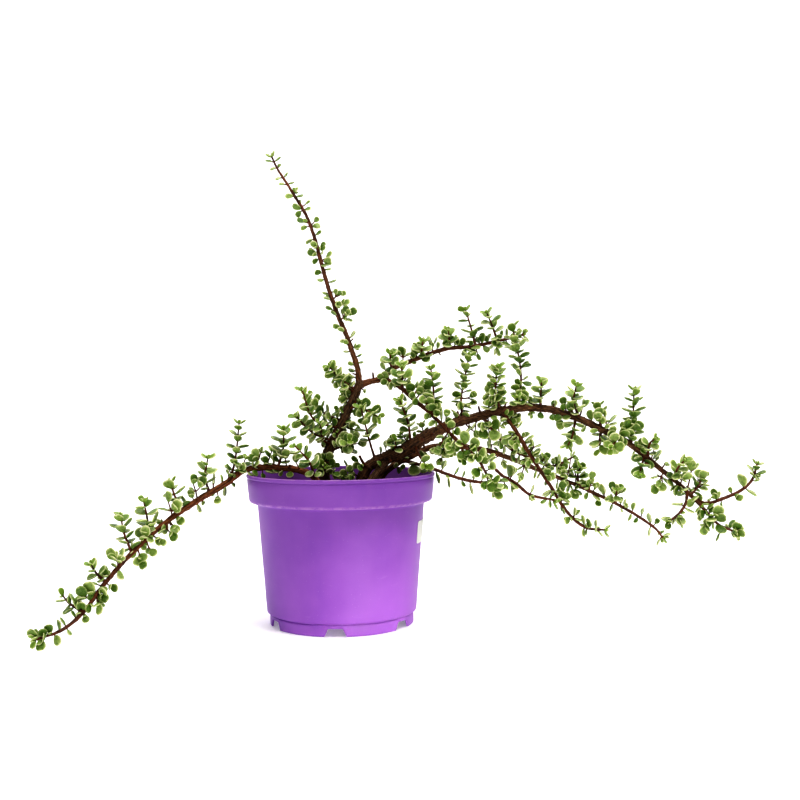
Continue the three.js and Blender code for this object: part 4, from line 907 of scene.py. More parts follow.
# Thickness in mm: of a leaf without length, its gain for each mm of length, and its chance part.
THICKNESS, THICKNESS_GAIN, THICKNESS_CHANCE = 1.35, 0.11, 0.15
# Curl along and cup across as shares of the length: mean and spread.
CURL = (0.02, 0.07)
CUP = (0.06, 0.05)


# Columns of a leaf's row, after its root, direction and upper face.
LENGTH, YOUTH = 9, 10


def leaves_skin(leaves, rng):
    """Skin of many leaves. Each row of leaves is root, direction, upper face, length and youth.

    A point of a leaf is its root, plus along, across and face times its shares of the leaf's length, half
    width and thickness. The face part also gets the curl, times the share along squared, and the cup,
    times the share across squared. A row of no length makes no leaf.
    """
    root, along, face = leaves[:, 0:3], unit(leaves[:, 3:6]), unit(leaves[:, 6:9])
    length, youth = leaves[:, LENGTH], leaves[:, YOUTH]
    count, each = len(leaves), len(LEAF_FORM)
    side = np.cross(face, along)
    half_width = length * rng.uniform(*HALF_WIDTH, count) * (1 - SLIMMER * youth)
    chance = rng.uniform(-THICKNESS_CHANCE, THICKNESS_CHANCE, count)
    thickness = THICKNESS + THICKNESS_GAIN * length + chance
    curl = rng.normal(*CURL, count) * length
    cup = rng.normal(*CUP, count) * length
    t, across, thick, margin = LEAF_FORM.T
    lift = np.outer(thickness, thick) + np.outer(curl, t**2) + np.outer(cup, across**2)
    points = (root[:, None, :] + (np.outer(length, t))[:, :, None] * along[:, None, :]
              + np.outer(half_width, across)[:, :, None] * side[:, None, :]
              + lift[:, :, None] * face[:, None, :])
    tint = rng.uniform(0, 1, count)
    made = length > 0
    starts = (np.arange(made.sum()) * each)[:, None, None]
    faces = [(group[None] + starts).reshape(-1, group.shape[1]) for group in LEAF_FACES]
    values = {
        "margin": np.tile(margin, made.sum()),
        "tint": np.repeat(tint[made], each),
        "youth": np.repeat(youth[made], each),
    }
    return outward((points[made].reshape(-1, 3), faces, values))


# Leaf pairs: how far a pair is off its place, as a share of the spacing, and the share of leaves lost.
PAIR_JITTER = 0.12
LOST_SHARE = 0.04
# A leaf's rise is its angle in degrees from square to the stem towards the tip.
FIRST_RISE, RISE_GAIN, RISE_SPREAD = 13, 15, 6
# Sizes as shares of the leaf length: the least, the gain midway, and the chance part from leaf to leaf.
LEAST_SIZE, SIZE_GAIN = 0.84, 0.24
SIZE_RANGE = (0.86, 1.12)
# The last pair and the bud a little past it: share of the leaf length, rise and youth.
LAST_PAIR = (0.74, 40, 0.8)
BUD_PAIR = (0.4, 66, 1.0)
BUD_GAP = 0.6
# Chance turns round the stem and about the leaf itself, in radians.
TURN_SPREAD, ROLL_SPREAD = 0.14, 0.18
# The way to the light, how much a leaf on an upright stem turns to it, and from where it turns over.
LIGHT_WAY = np.array([0.0, -0.85, 0.53])
LEAST_FACING, FACES_AWAY = 0.1, -0.3
# How far out a leaf starts, as a share of the stem's radius.
ROOT_DEPTH = 0.55


def leaf_pairs(path, first, last, spacing, length, turn, rng, end=True, step=90, facing=1.2):
    """Opposite leaf pairs between two distances on a path, each turned on from the last by a step.

    A leaf leaves its stem in the direction out, raised towards the tip by its rise: along is cos(rise)
    out + sin(rise) tangent, and its upper face is cos(rise) tangent - sin(rise) out. The face is then
    turned a little about the leaf, at random and towards the light, and the more so the more level the
    stem is. With end, the last pair is small and steep, and a pair of bud leaves closes the tip. A few
    leaves are lost.
    """
    count = max(1, int(round((last - first) / spacing)) + 1)
    far = np.linspace(first, last, count) if count > 1 else np.array([last])
    share = np.linspace(0, 1, count) if count > 1 else np.array([1.0])
    far = far + rng.uniform(-PAIR_JITTER, PAIR_JITTER, count) * spacing * (share < 1)
    size = length * (LEAST_SIZE + SIZE_GAIN * np.sin(math.pi * (share * 0.9 + 0.1)))
    rise = FIRST_RISE + RISE_GAIN * share
    youth = np.maximum(share - 0.35, 0) ** 1.5
    if end:
        last_size, rise[-1], youth[-1] = LAST_PAIR
        size[-1] = length * last_size
        bud_size, bud_rise, bud_youth = BUD_PAIR
        far, size = np.append(far, last + BUD_GAP), np.append(size, length * bud_size)
        rise, youth = np.append(rise, bud_rise), np.append(youth, bud_youth)
    centre, tangent, radius = path.at(far)
    across, depth = square_to(tangent)
    turns = np.radians(turn + step * (np.arange(len(far)) - count + 1))
    turns = turns + rng.normal(0, TURN_SPREAD, len(far))
    count = len(far)
    rows = []
    for half in (0, math.pi):
        angle = turns + half
        out = np.cos(angle)[:, None] * across + np.sin(angle)[:, None] * depth
        up = np.radians(rise + rng.normal(0, RISE_SPREAD, count))[:, None]
        along = np.cos(up) * out + np.sin(up) * tangent
        face = np.cos(up) * tangent - np.sin(up) * out
        roll = rng.normal(0, ROLL_SPREAD, count)[:, None]
        face = np.cos(roll) * face + np.sin(roll) * np.cross(along, face)
        light = LIGHT_WAY - along * (along @ LIGHT_WAY)[:, None]
        level = 1 - np.abs(tangent[:, 2:])
        side = np.where(np.sum(face * light, 1, keepdims=True) < FACES_AWAY, -1, 1)
        face = unit(face * side + (LEAST_FACING + facing * level) * light)
        root = centre + out * (radius * ROOT_DEPTH)[:, None]
        long = size * rng.uniform(*SIZE_RANGE, count)
        kept = rng.uniform(0, 1, count) > LOST_SHARE
        row = np.concatenate([root, along, face, long[:, None], youth[:, None]], 1)
        rows.append(row[kept])
    return np.concatenate(rows)


def spur_leaf(spur, foot, length, turn, rng):
    """One leaf at a distance on its spur, pointing on along it. With turn 0 its face looks along -Y."""
    sway, youth = 0.15, 0.1
    centre, tangent, _ = spur.at([foot])
    across, depth = square_to(tangent)
    angle = math.radians(turn) + rng.normal(0, ROLL_SPREAD)
    front = depth * np.sign(-depth[:, 1:2])
    face = front * math.cos(angle) + across * math.sin(angle)
    along = unit(tangent + sway * rng.normal(0, 1, (1, 3)))
    face = unit(face - along * np.sum(face * along, 1, keepdims=True))
    return np.concatenate([centre, along, face, [[length, youth]]], 1)


def side_leaves(leaf, share, rng):
    """The pair below a spur's leaf: two smaller leaves from its foot, out along its face and back from it.

    Each leans 38 degrees or so from there towards the big leaf, and looks the way that the big leaf points.
    """
    lean_mean, lean_spread, size_range, youth = 38, 8, (0.8, 1.15), 0.2
    root, along, face = leaf[:, 0:3], leaf[:, 3:6], leaf[:, 6:9]
    rows = []
    for side in (1, -1):
        lean = math.radians(rng.normal(lean_mean, lean_spread))
        way = math.cos(lean) * side * face + math.sin(lean) * along
        look = math.cos(lean) * along - math.sin(lean) * side * face
        size = leaf[0, 9] * share * rng.uniform(*size_range)
        rows.append(np.concatenate([root, unit(way), unit(look), [[size, youth]]], 1))
    return np.concatenate(rows)


# ---------------------------------------------------------------------------------------------------------
# Finishes
# ---------------------------------------------------------------------------------------------------------


# Colours as a screen shows them, 0 to 255.
PALETTE = {
    "purple": (130, 75, 170), "light_purple": (144, 88, 180), "flow_mark": (147, 89, 177),
    "rubbed_purple": (160, 112, 186), "purple_speck": (186, 152, 204), "chafed_purple": (206, 160, 198),
    "old_dark": (46, 30, 17), "old_light": (116, 89, 62), "old_grey": (128, 105, 82),
    "red_dark": (86, 44, 22), "red_light": (164, 98, 54), "young_dark": (75, 29, 12),
    # The bark's near-black furrow colour is partly its own dark furrows and partly painted shade in the
    # hollows.
    "young_light": (124, 63, 28), "shaded_furrow": (22, 13, 9), "bark_ring": (130, 96, 70),
    "dark_green": (64, 102, 18), "sage": (154, 177, 96), "pale_fleck": (150, 174, 90),
    "green_vein": (50, 82, 10), "fresh_green": (136, 168, 56), "pale_green": (198, 208, 131),
    "cream": (230, 231, 178), "black_peat": (34, 24, 18), "brown_peat": (84, 62, 46),
    "peat_clump": (104, 80, 60), "bark_chip": (128, 88, 58), "perlite": (222, 218, 208),
    "paper_shade": (205, 205, 202), "paper": (217, 217, 213), "floor_shade": (247, 247, 247),
    "floor": (251, 251, 251),
}


def paint(name):
    """A colour of the palette as the linear values that shaders take."""
    shares = np.array(PALETTE[name]) / 255
    linear = np.where(shares <= 0.04045, shares / 12.92, ((shares + 0.055) / 1.055) ** 2.4)
    return (*linear.tolist(), 1.0)


class Finish:
    """A material being mixed. Each method adds one node and gives back its output socket."""

    def __init__(self, name, roughness, **constants):
        self.material = bpy.data.materials.new(name)
        self.material.use_nodes = True
        self.tree = self.material.node_tree
        self.shader = self.tree.nodes["Principled BSDF"]
        self.shader.inputs["Roughness"].default_value = roughness
        for socket, value in constants.items():
            self.shader.inputs[socket.replace("_", " ")].default_value = value

    def add(self, kind, **inputs):
        """A node of that kind, with sockets given by name as a value or as another node's output."""
        node = self.tree.nodes.new(kind)
        for socket, value in inputs.items():
            self.feed(node.inputs[socket.replace("_", " ")], value)
        return node

    def feed(self, socket, value):
        """Gives a socket a value, or links another node's output to it."""
        if isinstance(value, bpy.types.NodeSocket):
            self.tree.links.new(value, socket)
        else:
            socket.default_value = value

    def value(self, name):
        """A number that is stored at the mesh's points."""
        node = self.add("ShaderNodeAttribute")
        node.attribute_name = name
        return node.outputs["Fac"]

    def grain(self, stretch):
        """The place in the stored grain, scaled by axis. A pattern stretches where the scale is small."""
        node = self.add("ShaderNodeAttribute")
        node.attribute_name = "grain"
        return self.add("ShaderNodeMapping", Vector=node.outputs["Vector"], Scale=stretch).outputs["Vector"]

    def place(self, stretch=(1, 1, 1)):
        """The place in the object, in metres, scaled by axis."""
        node = self.add("ShaderNodeTexCoord")
        return self.add("ShaderNodeMapping", Vector=node.outputs["Object"], Scale=stretch).outputs["Vector"]

    def noise(self, where, scale, detail, roughness=0.55):
        """Cloudy noise from 0 to 1, with scale clouds a metre and detail layers of finer ones."""
        return self.add("ShaderNodeTexNoise", Vector=where, Scale=scale, Detail=detail,
                        Roughness=roughness).outputs["Fac"]

    def cells(self, where, scale):
        """The distance to the nearest of points that are strewn scale a metre."""
        return self.add("ShaderNodeTexVoronoi", Vector=where, Scale=scale).outputs["Distance"]

    def step(self, value, low, high, to_low=0.0, to_high=1.0):
        """The value's way from low to high as a smooth step from to_low to to_high."""
        node = self.add("ShaderNodeMapRange")
        node.interpolation_type = "SMOOTHSTEP"
        for socket, given in zip(node.inputs, (value, low, high, to_low, to_high)):
            self.feed(socket, given)
        return node.outputs["Result"]

    def reckon(self, operation, *terms):
        """A sum or product of terms, made by one maths node."""
        node = self.add("ShaderNodeMath")
        node.operation = operation
        for socket, term in zip(node.inputs, terms):
            self.feed(socket, term)
        return node.outputs[0]

    def times(self, a, b):
        """The product of two values."""
        return self.reckon("MULTIPLY", a, b)

    def sum(self, *terms):
        """The sum of (value, weight) pairs, each value times its weight."""
        total = 0.0
        for value, weight in terms:
            total = self.reckon("MULTIPLY_ADD", value, weight, total)
        return total

    def blend(self, share, a, b):
        """Colour a turning into colour b by a share. The node's sockets 6 and 7 are the two colours'."""
        node = self.add("ShaderNodeMix")
        node.data_type = "RGBA"
        for socket, given in ((0, share), (6, a), (7, b)):
            self.feed(node.inputs[socket], given)
        return node.outputs[2]

    def tinge(self, colour, name, value, low, high, most=None):
        """A colour turning into one of the palette as a value goes from low to high, by most at most."""
        share = self.step(value, low, high)
        if most is not None:
            share = self.times(share, most)
        return self.blend(share, colour, paint(name))

    def done(self, colour, roughness=None, bump=None):
        """Connects colour, roughness and bump, which is height, strength and depth. Gives the material."""
        self.feed(self.shader.inputs["Base Color"], colour)
        if roughness is not None:
            self.feed(self.shader.inputs["Roughness"], roughness)
        if bump is not None:
            height, strength, depth = bump
            node = self.add("ShaderNodeBump", Height=height, Strength=strength, Distance=depth)
            self.feed(self.shader.inputs["Normal"], node.outputs["Normal"])
        return self.material


def purple_plastic():
    """Moulded purple plastic: a satin skin with faint flow marks, tiny specks and rubbed patches."""
    finish = Finish("purple_plastic", 0.5, Specular_IOR_Level=0.3)
    where = finish.place()
    cloud = finish.noise(where, 14, 3)
    flow = finish.noise(finish.place((1, 1, 0.12)), 90, 4)
    rub = finish.times(finish.step(finish.noise(finish.place((1, 1, 3.5)), 55, 6, 0.7), 0.60, 0.74), 0.30)
    colour = finish.tinge(paint("purple"), "light_purple", cloud, 0.3, 0.7)
    colour = finish.tinge(colour, "flow_mark", flow, 0.35, 0.75, 0.2)
    colour = finish.blend(rub, colour, paint("rubbed_purple"))
    colour = finish.tinge(colour, "purple_speck", finish.cells(where, 260), 0.10, 0.03, 0.25)
    worn = finish.value("worn")
    colour = finish.tinge(colour, "chafed_purple", finish.noise(where, 160, 4, 0.6), 0.36, 0.6, worn)
    rough = finish.sum((cloud, 0.12), (flow, 0.10), (rub, 0.35), (0.36, 1.0))
    height = finish.sum((flow, 0.5), (finish.noise(where, 900, 3), 0.3), (rub, 0.4))
    return finish.done(colour, rough, (height, 0.12, 0.0004))


def bark():
    """Bark from its age and ruddiness: grey-brown and furrowed when old, smooth dark red when young."""
    finish = Finish("bark", 0.7, Specular_IOR_Level=0.35)
    age, ruddy = finish.value("age"), finish.value("ruddy")
    streak = finish.noise(finish.grain((1, 1, 0.16)), 1300, 5, 0.65)
    shaded_furrow = finish.noise(finish.grain((1, 1, 0.07)), 700, 4, 0.6)
    ring = finish.noise(finish.grain((0.15, 0.15, 1)), 900, 3, 0.6)
    patch = finish.noise(finish.grain((1, 1, 0.5)), 170, 4, 0.6)
    old = finish.tinge(paint("old_dark"), "old_light", streak, 0.35, 0.68)
    old = finish.tinge(old, "old_grey", patch, 0.52, 0.72, 0.5)
    red = finish.tinge(paint("red_dark"), "red_light", streak, 0.3, 0.7)
    grown = finish.blend(ruddy, old, red)
    young = finish.tinge(paint("young_dark"), "young_light", patch, 0.3, 0.7)
    colour = finish.blend(finish.step(age, 0.10, 0.62), young, grown)
    # Near black where the bump is low: partly the bark's own dark furrows, partly painted shade in the
    # hollows.
    colour = finish.tinge(colour, "shaded_furrow", shaded_furrow, 0.52, 0.38, 0.7)
    colour = finish.tinge(colour, "bark_ring", ring, 0.60, 0.74, 0.35)
    rough = finish.step(age, 0.0, 0.7, 0.46, 0.82)
    height = finish.sum((streak, 0.6), (shaded_furrow, 0.9), (ring, 0.35))
    return finish.done(colour, rough, (height, 0.55, 0.0005))


def variegated_leaf():
    """A fleshy leaf: sage to dark green inside, a pale yellow margin with a wavy edge, fresher when young."""
    finish = Finish("variegated_leaf", 0.40, Specular_IOR_Level=0.33, Subsurface_Weight=0.06,
                    Subsurface_Radius=(0.5, 1.0, 0.2), Subsurface_Scale=0.001)
    margin, tint, youth = finish.value("margin"), finish.value("tint"), finish.value("youth")
    where = finish.place()
    wave = finish.noise(where, 420, 3, 0.6)
    fleck = finish.noise(where, 1500, 4, 0.6)
    reach = finish.sum((margin, 1.0), (wave, 0.40), (tint, 0.20), (-0.25, 1.0))
    green = finish.tinge(paint("dark_green"), "sage", tint, 0.1, 0.9)
    green = finish.tinge(green, "pale_fleck", fleck, 0.40, 0.68, 0.5)
    green = finish.tinge(green, "green_vein", wave, 0.55, 0.35, 0.45)
    green = finish.blend(finish.times(youth, 0.75), green, paint("fresh_green"))
    halfway = finish.blend(0.45, green, paint("pale_green"))
    colour = finish.blend(finish.step(reach, 0.68, 0.88), green, halfway)
    colour = finish.tinge(colour, "cream", reach, 0.92, 1.02)
    rough = finish.sum((fleck, 0.16), (0.30, 1.0))
    height = finish.sum((fleck, 0.3), (wave, 1.0))
    return finish.done(colour, rough, (height, 0.4, 0.0006))


def peat():
    """Peat and bark mix: near black fibre with brown chips; the stored kind picks a crumb's colour."""
    finish = Finish("peat", 0.92, Specular_IOR_Level=0.2)
    where = finish.place()
    kind = finish.value("kind")
    fibre = finish.noise(where, 700, 6, 0.7)
    clump = finish.noise(where, 120, 4, 0.6)
    colour = finish.tinge(paint("black_peat"), "brown_peat", fibre, 0.35, 0.7)
    colour = finish.tinge(colour, "peat_clump", clump, 0.5, 0.7, 0.4)
    colour = finish.tinge(colour, "bark_chip", kind, 0.45, 0.9)
    colour = finish.tinge(colour, "perlite", kind, 0.955, 0.975)
    height = finish.sum((fibre, 1.0), (clump, 0.8))
    return finish.done(colour, bump=(height, 0.8, 0.001))


def blank_paper():
    """White label paper with a faint fibre."""
    finish = Finish("blank_paper", 0.62)
    fibre = finish.noise(finish.place(), 1400, 5, 0.7)
    colour = finish.tinge(paint("paper_shade"), "paper", fibre, 0.3, 0.75)
    return finish.done(colour, bump=(fibre, 0.1, 0.0001))


def glowing_pale_floor():
    """The studio's white sweep, with the faintest mottling."""
    # The sweep glows faintly: painted light that brightens the pot from below and washes out the shadows on
    # the floor.
    finish = Finish("glowing_pale_floor", 0.7, Specular_IOR_Level=0.1, Emission_Color=(1, 1, 1, 1),
                    Emission_Strength=0.2)
    cloud = finish.noise(finish.place(), 6, 4)
    return finish.done(finish.blend(cloud, paint("floor_shade"), paint("floor")))


# ---------------------------------------------------------------------------------------------------------
# The plant
# ---------------------------------------------------------------------------------------------------------

BARK = bark()
LEAF = variegated_leaf()

# Radii in mm: what a trunk and a branch are thicker than, and those of side growths from foot to tip.
TRUNK_RADIUS = 3
BRANCH_RADIUS = 1.5
SPRIG_RADII = (0.85, 0.5)
SPRAY_RADII = (0.85, 0.65)
SPUR_RADII = (0.7, 0.5)
SHOOT_RADII = (1.15, 0.9, 0.6)
TWIG_RUDDY = 0.5
# A stem whose route starts below this height comes out of the potting mix.
ROOTED_BELOW = 100
# Leaf pairs on sprigs and shoots: their distance, and the bare part beyond the parent's radius.
SPRIG_SPACING, SPRIG_BARE = 5.0, 1.2
SHOOT_SPACING, SHOOT_BARE = 5.1, 2.5
SHOOT_LEAF_SCALE = 1.05
# A spur shows this much of itself outside its stem, and reaches this far past its leaf's foot.
SPUR_SHOWN, SPUR_PAST_LEAF = 0.4, 0.9
# Leaves that face the front by less than this turn may have a smaller pair below them.
PAIRED_TURN, PAIRED_SHARE, PAIRED_SIZE = 50, 0.6, 0.68
STEM_SEED, SHOOT_SEED = 100, 300


def grow_sprigs(parent, rows, ruddy, rng):
    """The twigs and leaves of a stem's sprigs, as a list of skins and a list of leaf rows.

    A sprig's way ends at the tip of its leaves, so its twig is shorter than that by half a leaf, but never
    shorter than 2 mm outside the stem or 45 hundredths of the way. Its first pair sits right beside the stem.
    A sprig that has no room for two pairs bears only its bud.
    """
    twigs, leaves = [], []
    for place, way, pairs, leaf, turn in rows:
        base, _, radius = parent.at(parent.distance(place))
        way, thick = np.array(way, float), float(radius[0])
        reach = float(np.linalg.norm(way))
        grown = max(reach - 0.5 * leaf, thick + 2.0, 0.45 * reach)
        path = twig_path(base[0], way * grown / reach, *SPRIG_RADII)
        first = min(thick + SPRIG_BARE, path.length * 0.8)
        count = max(pairs, int(round((path.length - first) / SPRIG_SPACING)) + 1)
        spacing = (path.length - first) / (count - 1) if count > 1 else SPRIG_SPACING
        leafage = leaf_pairs(path, first, path.length, spacing, leaf, turn, rng)
        if count < 2:
            leafage[leafage[:, YOUTH] < BUD_PAIR[-1], LENGTH] = 0
        leaves.append(leafage)
        twigs.append(twig_skin(path, ruddy, rng))
    return twigs, leaves


def grow_leaves(parent, singles, sprays, ruddy, rng):
    """A stem's single leaves and sprays, as a list of skins and a list of leaf rows.

    A spur is as long as the way to the leaf's tip less the leaf, and reaches just past the leaf's foot. It
    starts inside the stem or, in a spray, at the end of the spray's twig.
    """
    skins, leaves = [], []
    lone = [(place, None, [(way, leaf, turn)]) for place, way, leaf, turn in singles]
    for place, node, members in lone + sprays:
        base, _, radius = parent.at(parent.distance(place))
        start, least = base[0], float(radius[0]) + SPUR_SHOWN
        if node is not None:
            node = np.array(node, float)
            skins.append(twig_skin(twig_path(base[0], node, *SPRAY_RADII), ruddy, rng))
            start, least = base[0] + node, 0.3
        for tip, leaf, turn in members:
            way = base[0] + np.array(tip, float) - start
            reach = float(np.linalg.norm(way))
            foot = max(least, reach - leaf)
            spur = twig_path(start, way * (foot + SPUR_PAST_LEAF) / reach, *SPUR_RADII)
            leaves.append(spur_leaf(spur, foot, leaf, turn, rng))
            if turn < PAIRED_TURN and rng.uniform() < PAIRED_SHARE:
                leaves.append(side_leaves(leaves[-1], PAIRED_SIZE, rng))
            skins.append(twig_skin(spur, ruddy, rng))
    return skins, leaves


def grow_stubs(parent, rows, rng):
    """Dry stubs on a stem: short stems that end blunt, a quarter thicker at the foot."""
    skins = []
    for place, way, thick in rows:
        base = parent.at(parent.distance(place))[0][0]
        path = twig_path(base, way, thick * 1.25, thick)
        skins.append(stem_skin(path, sides=8, step=0.9, ruddy=0.2, rng=rng, node_gap=3.0, relief=1.4))
    return skins


def grow_stem(name, route, ruddy, seed):
    """One stem with its own leaf pairs, sprigs and stubs, as a wood piece and a leaf piece."""
    rng = np.random.default_rng(seed)
    path = Path(route)
    thick = max(point[3] for point in route)
    sides = 20 if thick > TRUNK_RADIUS else 14 if thick > BRANCH_RADIUS else 10
    node_gap = 9.0 if thick > TRUNK_RADIUS else 7.5
    step = 0.8 if thick > BRANCH_RADIUS else 0.9
    flare = 0.12 if route[0][2] < ROOTED_BELOW else 0.2
    wood = [stem_skin(path, sides, step, ruddy, rng, node_gap, flare=flare)]
    leaves = []
    for first, last, spacing, leaf, turn, turned_on, facing in LEAFY.get(name, []):
        near, far = path.distance(first), path.distance(last)
        at_end = far > path.length - 1
        leaves.append(leaf_pairs(path, near, far, spacing, leaf, turn, rng, at_end, turned_on, facing))
    twig_ruddy = max(ruddy, TWIG_RUDDY)
    twigs, more = grow_sprigs(path, SPRIGS.get(name, []), twig_ruddy, rng)
    spurs, single = grow_leaves(path, LEAVES.get(name, []), SPRAYS.get(name, []), twig_ruddy, rng)
    wood += twigs + spurs + grow_stubs(path, STUBS.get(name, []), rng)
    leaves += more + single
    piece(name + "_wood", joined(wood), BARK, [name])
    if leaves:
        piece(name + "_leaves", leaves_skin(np.concatenate(leaves), rng), LEAF, [name])
    return path


def grow_shoot(name, parent, place, turn, leaf, middle, tip, seed):
    """A leafy side shoot, as a wood piece and a leaf piece. Its foot may be bare for some millimetres."""
    rng = np.random.default_rng(seed)
    ruddy = 0.6
    base, _, thick = parent.at(parent.distance(place))
    path = Path([(*point, radius) for point, radius in zip((base[0], middle, tip), SHOOT_RADII)])
    wood = stem_skin(path, sides=8, step=0.9, ruddy=ruddy, rng=rng, node_gap=6.0, relief=0.8, flare=0.5)
    first = float(thick[0]) + SHOOT_BARE + BARE_FEET.get(name, 0)
    leaves = leaf_pairs(path, first, path.length, SHOOT_SPACING, leaf * SHOOT_LEAF_SCALE, turn, rng)
    spurs, single = grow_leaves(path, LEAVES.get(name, []), SPRAYS.get(name, []), ruddy, rng)
    piece(name + "_wood", joined([wood] + spurs), BARK, [name])
    piece(name + "_leaves", leaves_skin(np.concatenate([leaves] + single), rng), LEAF, [name])


paths = {}
for number, (name, (ruddy, route)) in enumerate(STEMS.items()):
    paths[name] = grow_stem(name, route, ruddy, STEM_SEED + number)
for number, (name, (on, *row)) in enumerate(SHOOTS.items()):
    grow_shoot(name, paths[on], *row, SHOOT_SEED + number)

# ---------------------------------------------------------------------------------------------------------
# The pot
# ---------------------------------------------------------------------------------------------------------


def around(turn, radius, height):
    """Points at angles from -Y towards +X, in degrees: x = r sin, y = -r cos."""
    angle = np.radians(turn)
    return np.stack(np.broadcast_arrays(radius * np.sin(angle), -radius * np.cos(angle), height), -1)


def notch_height(turn):
    """How high the skirt's lower edge stands at an angle in degrees.

    A notch is a trapezoid: its height times a ramp that runs from 0 to 1 between its bottom and top half
    angles. The ramp's two corners are rounded, because it is averaged over a short stretch either side.
    """
    pitch = 360 / NOTCHES
    off = np.abs((turn - NOTCH_TURN + pitch / 2) % pitch - pitch / 2)
    run = (NOTCH_BOTTOM_HALF_ANGLE - off) / (NOTCH_BOTTOM_HALF_ANGLE - NOTCH_TOP_HALF_ANGLE)
    area = lambda x: np.where(x < 0, 0, np.where(x < 1, x**2 / 2, x - 0.5))
    under_ramp = area(run + NOTCH_ROUNDING) - area(run - NOTCH_ROUNDING)
    return NOTCH_HEIGHT * under_ramp / (2 * NOTCH_ROUNDING)


def pot_wall():
    """The wall, lip and skirt: one closed profile carried round the axis.

    Each row is (radius, height, share of the notch's height), so the skirt's rows move up with the notches
    and the rest stay level. Columns stand close together beside the notches.
    """
    skirt = [(POT_SKIRT_RADIUS - POT_SKIRT_BEVEL, 0, 1), (POT_SKIRT_RADIUS, POT_SKIRT_BEVEL, 1)]
    skirt += [(POT_SKIRT_RADIUS, POT_SKIRT_TOP * k, 1 - k) for k in (0.3, 0.6, 0.85)]
    outside = [(radius, height, 0) for radius, height in POT_OUTSIDE]
    inner = POT_SKIRT_RADIUS - POT_WALL
    inside = [(radius, height, 0) for radius, height in POT_INSIDE]
    inside += [(inner, POT_FLOOR * k, 1 - k) for k in (1, 0.6, 0.3)]
    inside += [(inner, POT_SKIRT_BEVEL, 1), (inner + POT_SKIRT_BEVEL, 0, 1)]
    radius, height, share = np.array(skirt + outside + inside).T[:, :, None]
    fine, middling, coarse = 0.4, 2, 2.2
    near = [np.arange(-10, -4.4, fine), np.arange(-4, 4.1, middling), np.arange(4.8, 10.1, fine)]
    pattern = np.concatenate(near + [np.arange(12, 49, coarse)])
    turn = np.concatenate([NOTCH_TURN + 360 / NOTCHES * k + pattern for k in range(NOTCHES)])
    points = around(turn[None, :], radius, height + share * notch_height(turn)[None, :])
    worn = np.zeros((len(radius), len(turn)))
    heights = np.array(POT_OUTSIDE)[:, 1:]
    worn[len(skirt):len(skirt) + len(outside)] = np.interp(heights, WORN_HEIGHTS, WORN_SHARES)
    faces = [grid_faces(len(radius), len(turn), True)]
    return outward((points.reshape(-1, 3), faces, {"worn": worn.ravel()}))


def pot_floor():
    """The floor in equal sectors, each round one drainage hole.

    A sector's rows run from its outline to the hole's rim below, up the hole and back to the outline above.
    A point of the rim is the hole's middle plus its radius in the direction of the outline's point.
    """
    steps, half = 14, 180 / DRAINS
    inner, outer = FLOOR_INNER_RADIUS, POT_SKIRT_RADIUS - POT_WALL / 2
    ramp = np.linspace(0, 1, steps, endpoint=False)
    level = np.ones(steps)
    underside, top = np.array([0, 0, POT_FLOOR]), np.array([0, 0, POT_FLOOR + POT_FLOOR_THICKNESS])
    skins = []
    for k in range(DRAINS):
        middle = 2 * half * k
        turn = middle + half * np.concatenate([2 * ramp - 1, level, 1 - 2 * ramp, -level])
        radius = np.concatenate([level * outer, outer + (inner - outer) * ramp,
                                 level * inner, inner + (outer - inner) * ramp])
        outline = around(turn, radius, 0.0)
        hole = around(middle, DRAIN_RING, 0.0)
        outwards = unit(outline - hole)
        rim = hole + outwards * DRAIN_RADIUS
        bevel = hole + outwards * (DRAIN_RADIUS + DRAIN_BEVEL)
        rows = np.stack([outline + underside, bevel + underside, rim + underside + [0, 0, DRAIN_BEVEL],
                         rim + top, outline + top])
        skins.append(outward((rows.reshape(-1, 3), [grid_faces(len(rows), len(turn), True)], {})))
    return joined(skins)


def closed_round(rings, first_height, last_height, **values):
    """A skin of rings, closed before the first and after the last by a point on the axis."""
    points = np.concatenate([[[0, 0, first_height]], rings.reshape(-1, 3), [[0, 0, last_height]]])
    values = {name: np.full(len(points), value) for name, value in values.items()}
    return outward((points, tube_faces(*rings.shape[:2]), values))


def middle_foot():
    """The flat foot in the middle of the floor: its profile turned round the axis."""
    columns = 48
    radius, height = np.array(FOOT_PROFILE[1:-1]).T[:, :, None]
    rings = around(np.arange(columns)[None, :] / columns * 360, radius, height)
    return closed_round(rings, FOOT_PROFILE[0][1], FOOT_PROFILE[-1][1])


pot = joined([pot_wall(), pot_floor(), middle_foot()])
piece("pot_body", pot, purple_plastic(), ["pot"])


# ---------------------------------------------------------------------------------------------------------
# The potting mix
# ---------------------------------------------------------------------------------------------------------


def unevenness(x, y):
    """Soft lumps: a sum of ripples in many directions. A ripple's height goes as its length to 0.45."""
    seed, share, power = 7, 0.10, 0.45
    rng = np.random.default_rng(seed)
    height = np.zeros(np.broadcast(x, y).shape)
    for pitch in MIX_RIPPLES:
        heading = rng.uniform(0, TURN)
        way = (x * math.cos(heading) + y * math.sin(heading)) / pitch
        height += np.cos(way * TURN + rng.uniform(0, TURN)) * share * pitch**power
    return height


def mix_height(x, y):
    """The mix's surface: a low crown that falls with the fourth power of the radius, plus unevenness."""
    share = np.clip(np.hypot(x, y) / MIX_RADIUS, 0, 1)
    return MIX_CROWN - (MIX_CROWN - MIX_EDGE) * share**4 + unevenness(x, y) * (1 - share**6)


def mix_body():
    """The mix as a closed body: its uneven top, then down the inside of the pot and across the floor."""
    columns, rings, first_ring, edge_gap, plain_kind = 144, 44, 2, 0.4, 0.1
    turn = np.arange(columns)[None, :] / columns * 360
    top = around(turn, np.linspace(first_ring, MIX_RADIUS - edge_gap, rings)[:, None], 0.0)
    top[:, :, 2] = mix_height(top[:, :, 0], top[:, :, 1])
    radius, height = np.array(MIX_SIDE).T[:, :, None]
    surface = np.concatenate([top, around(turn, radius, height)])
    return closed_round(surface, float(mix_height(0.0, 0.0)), MIX_BOTTOM, kind=plain_kind)


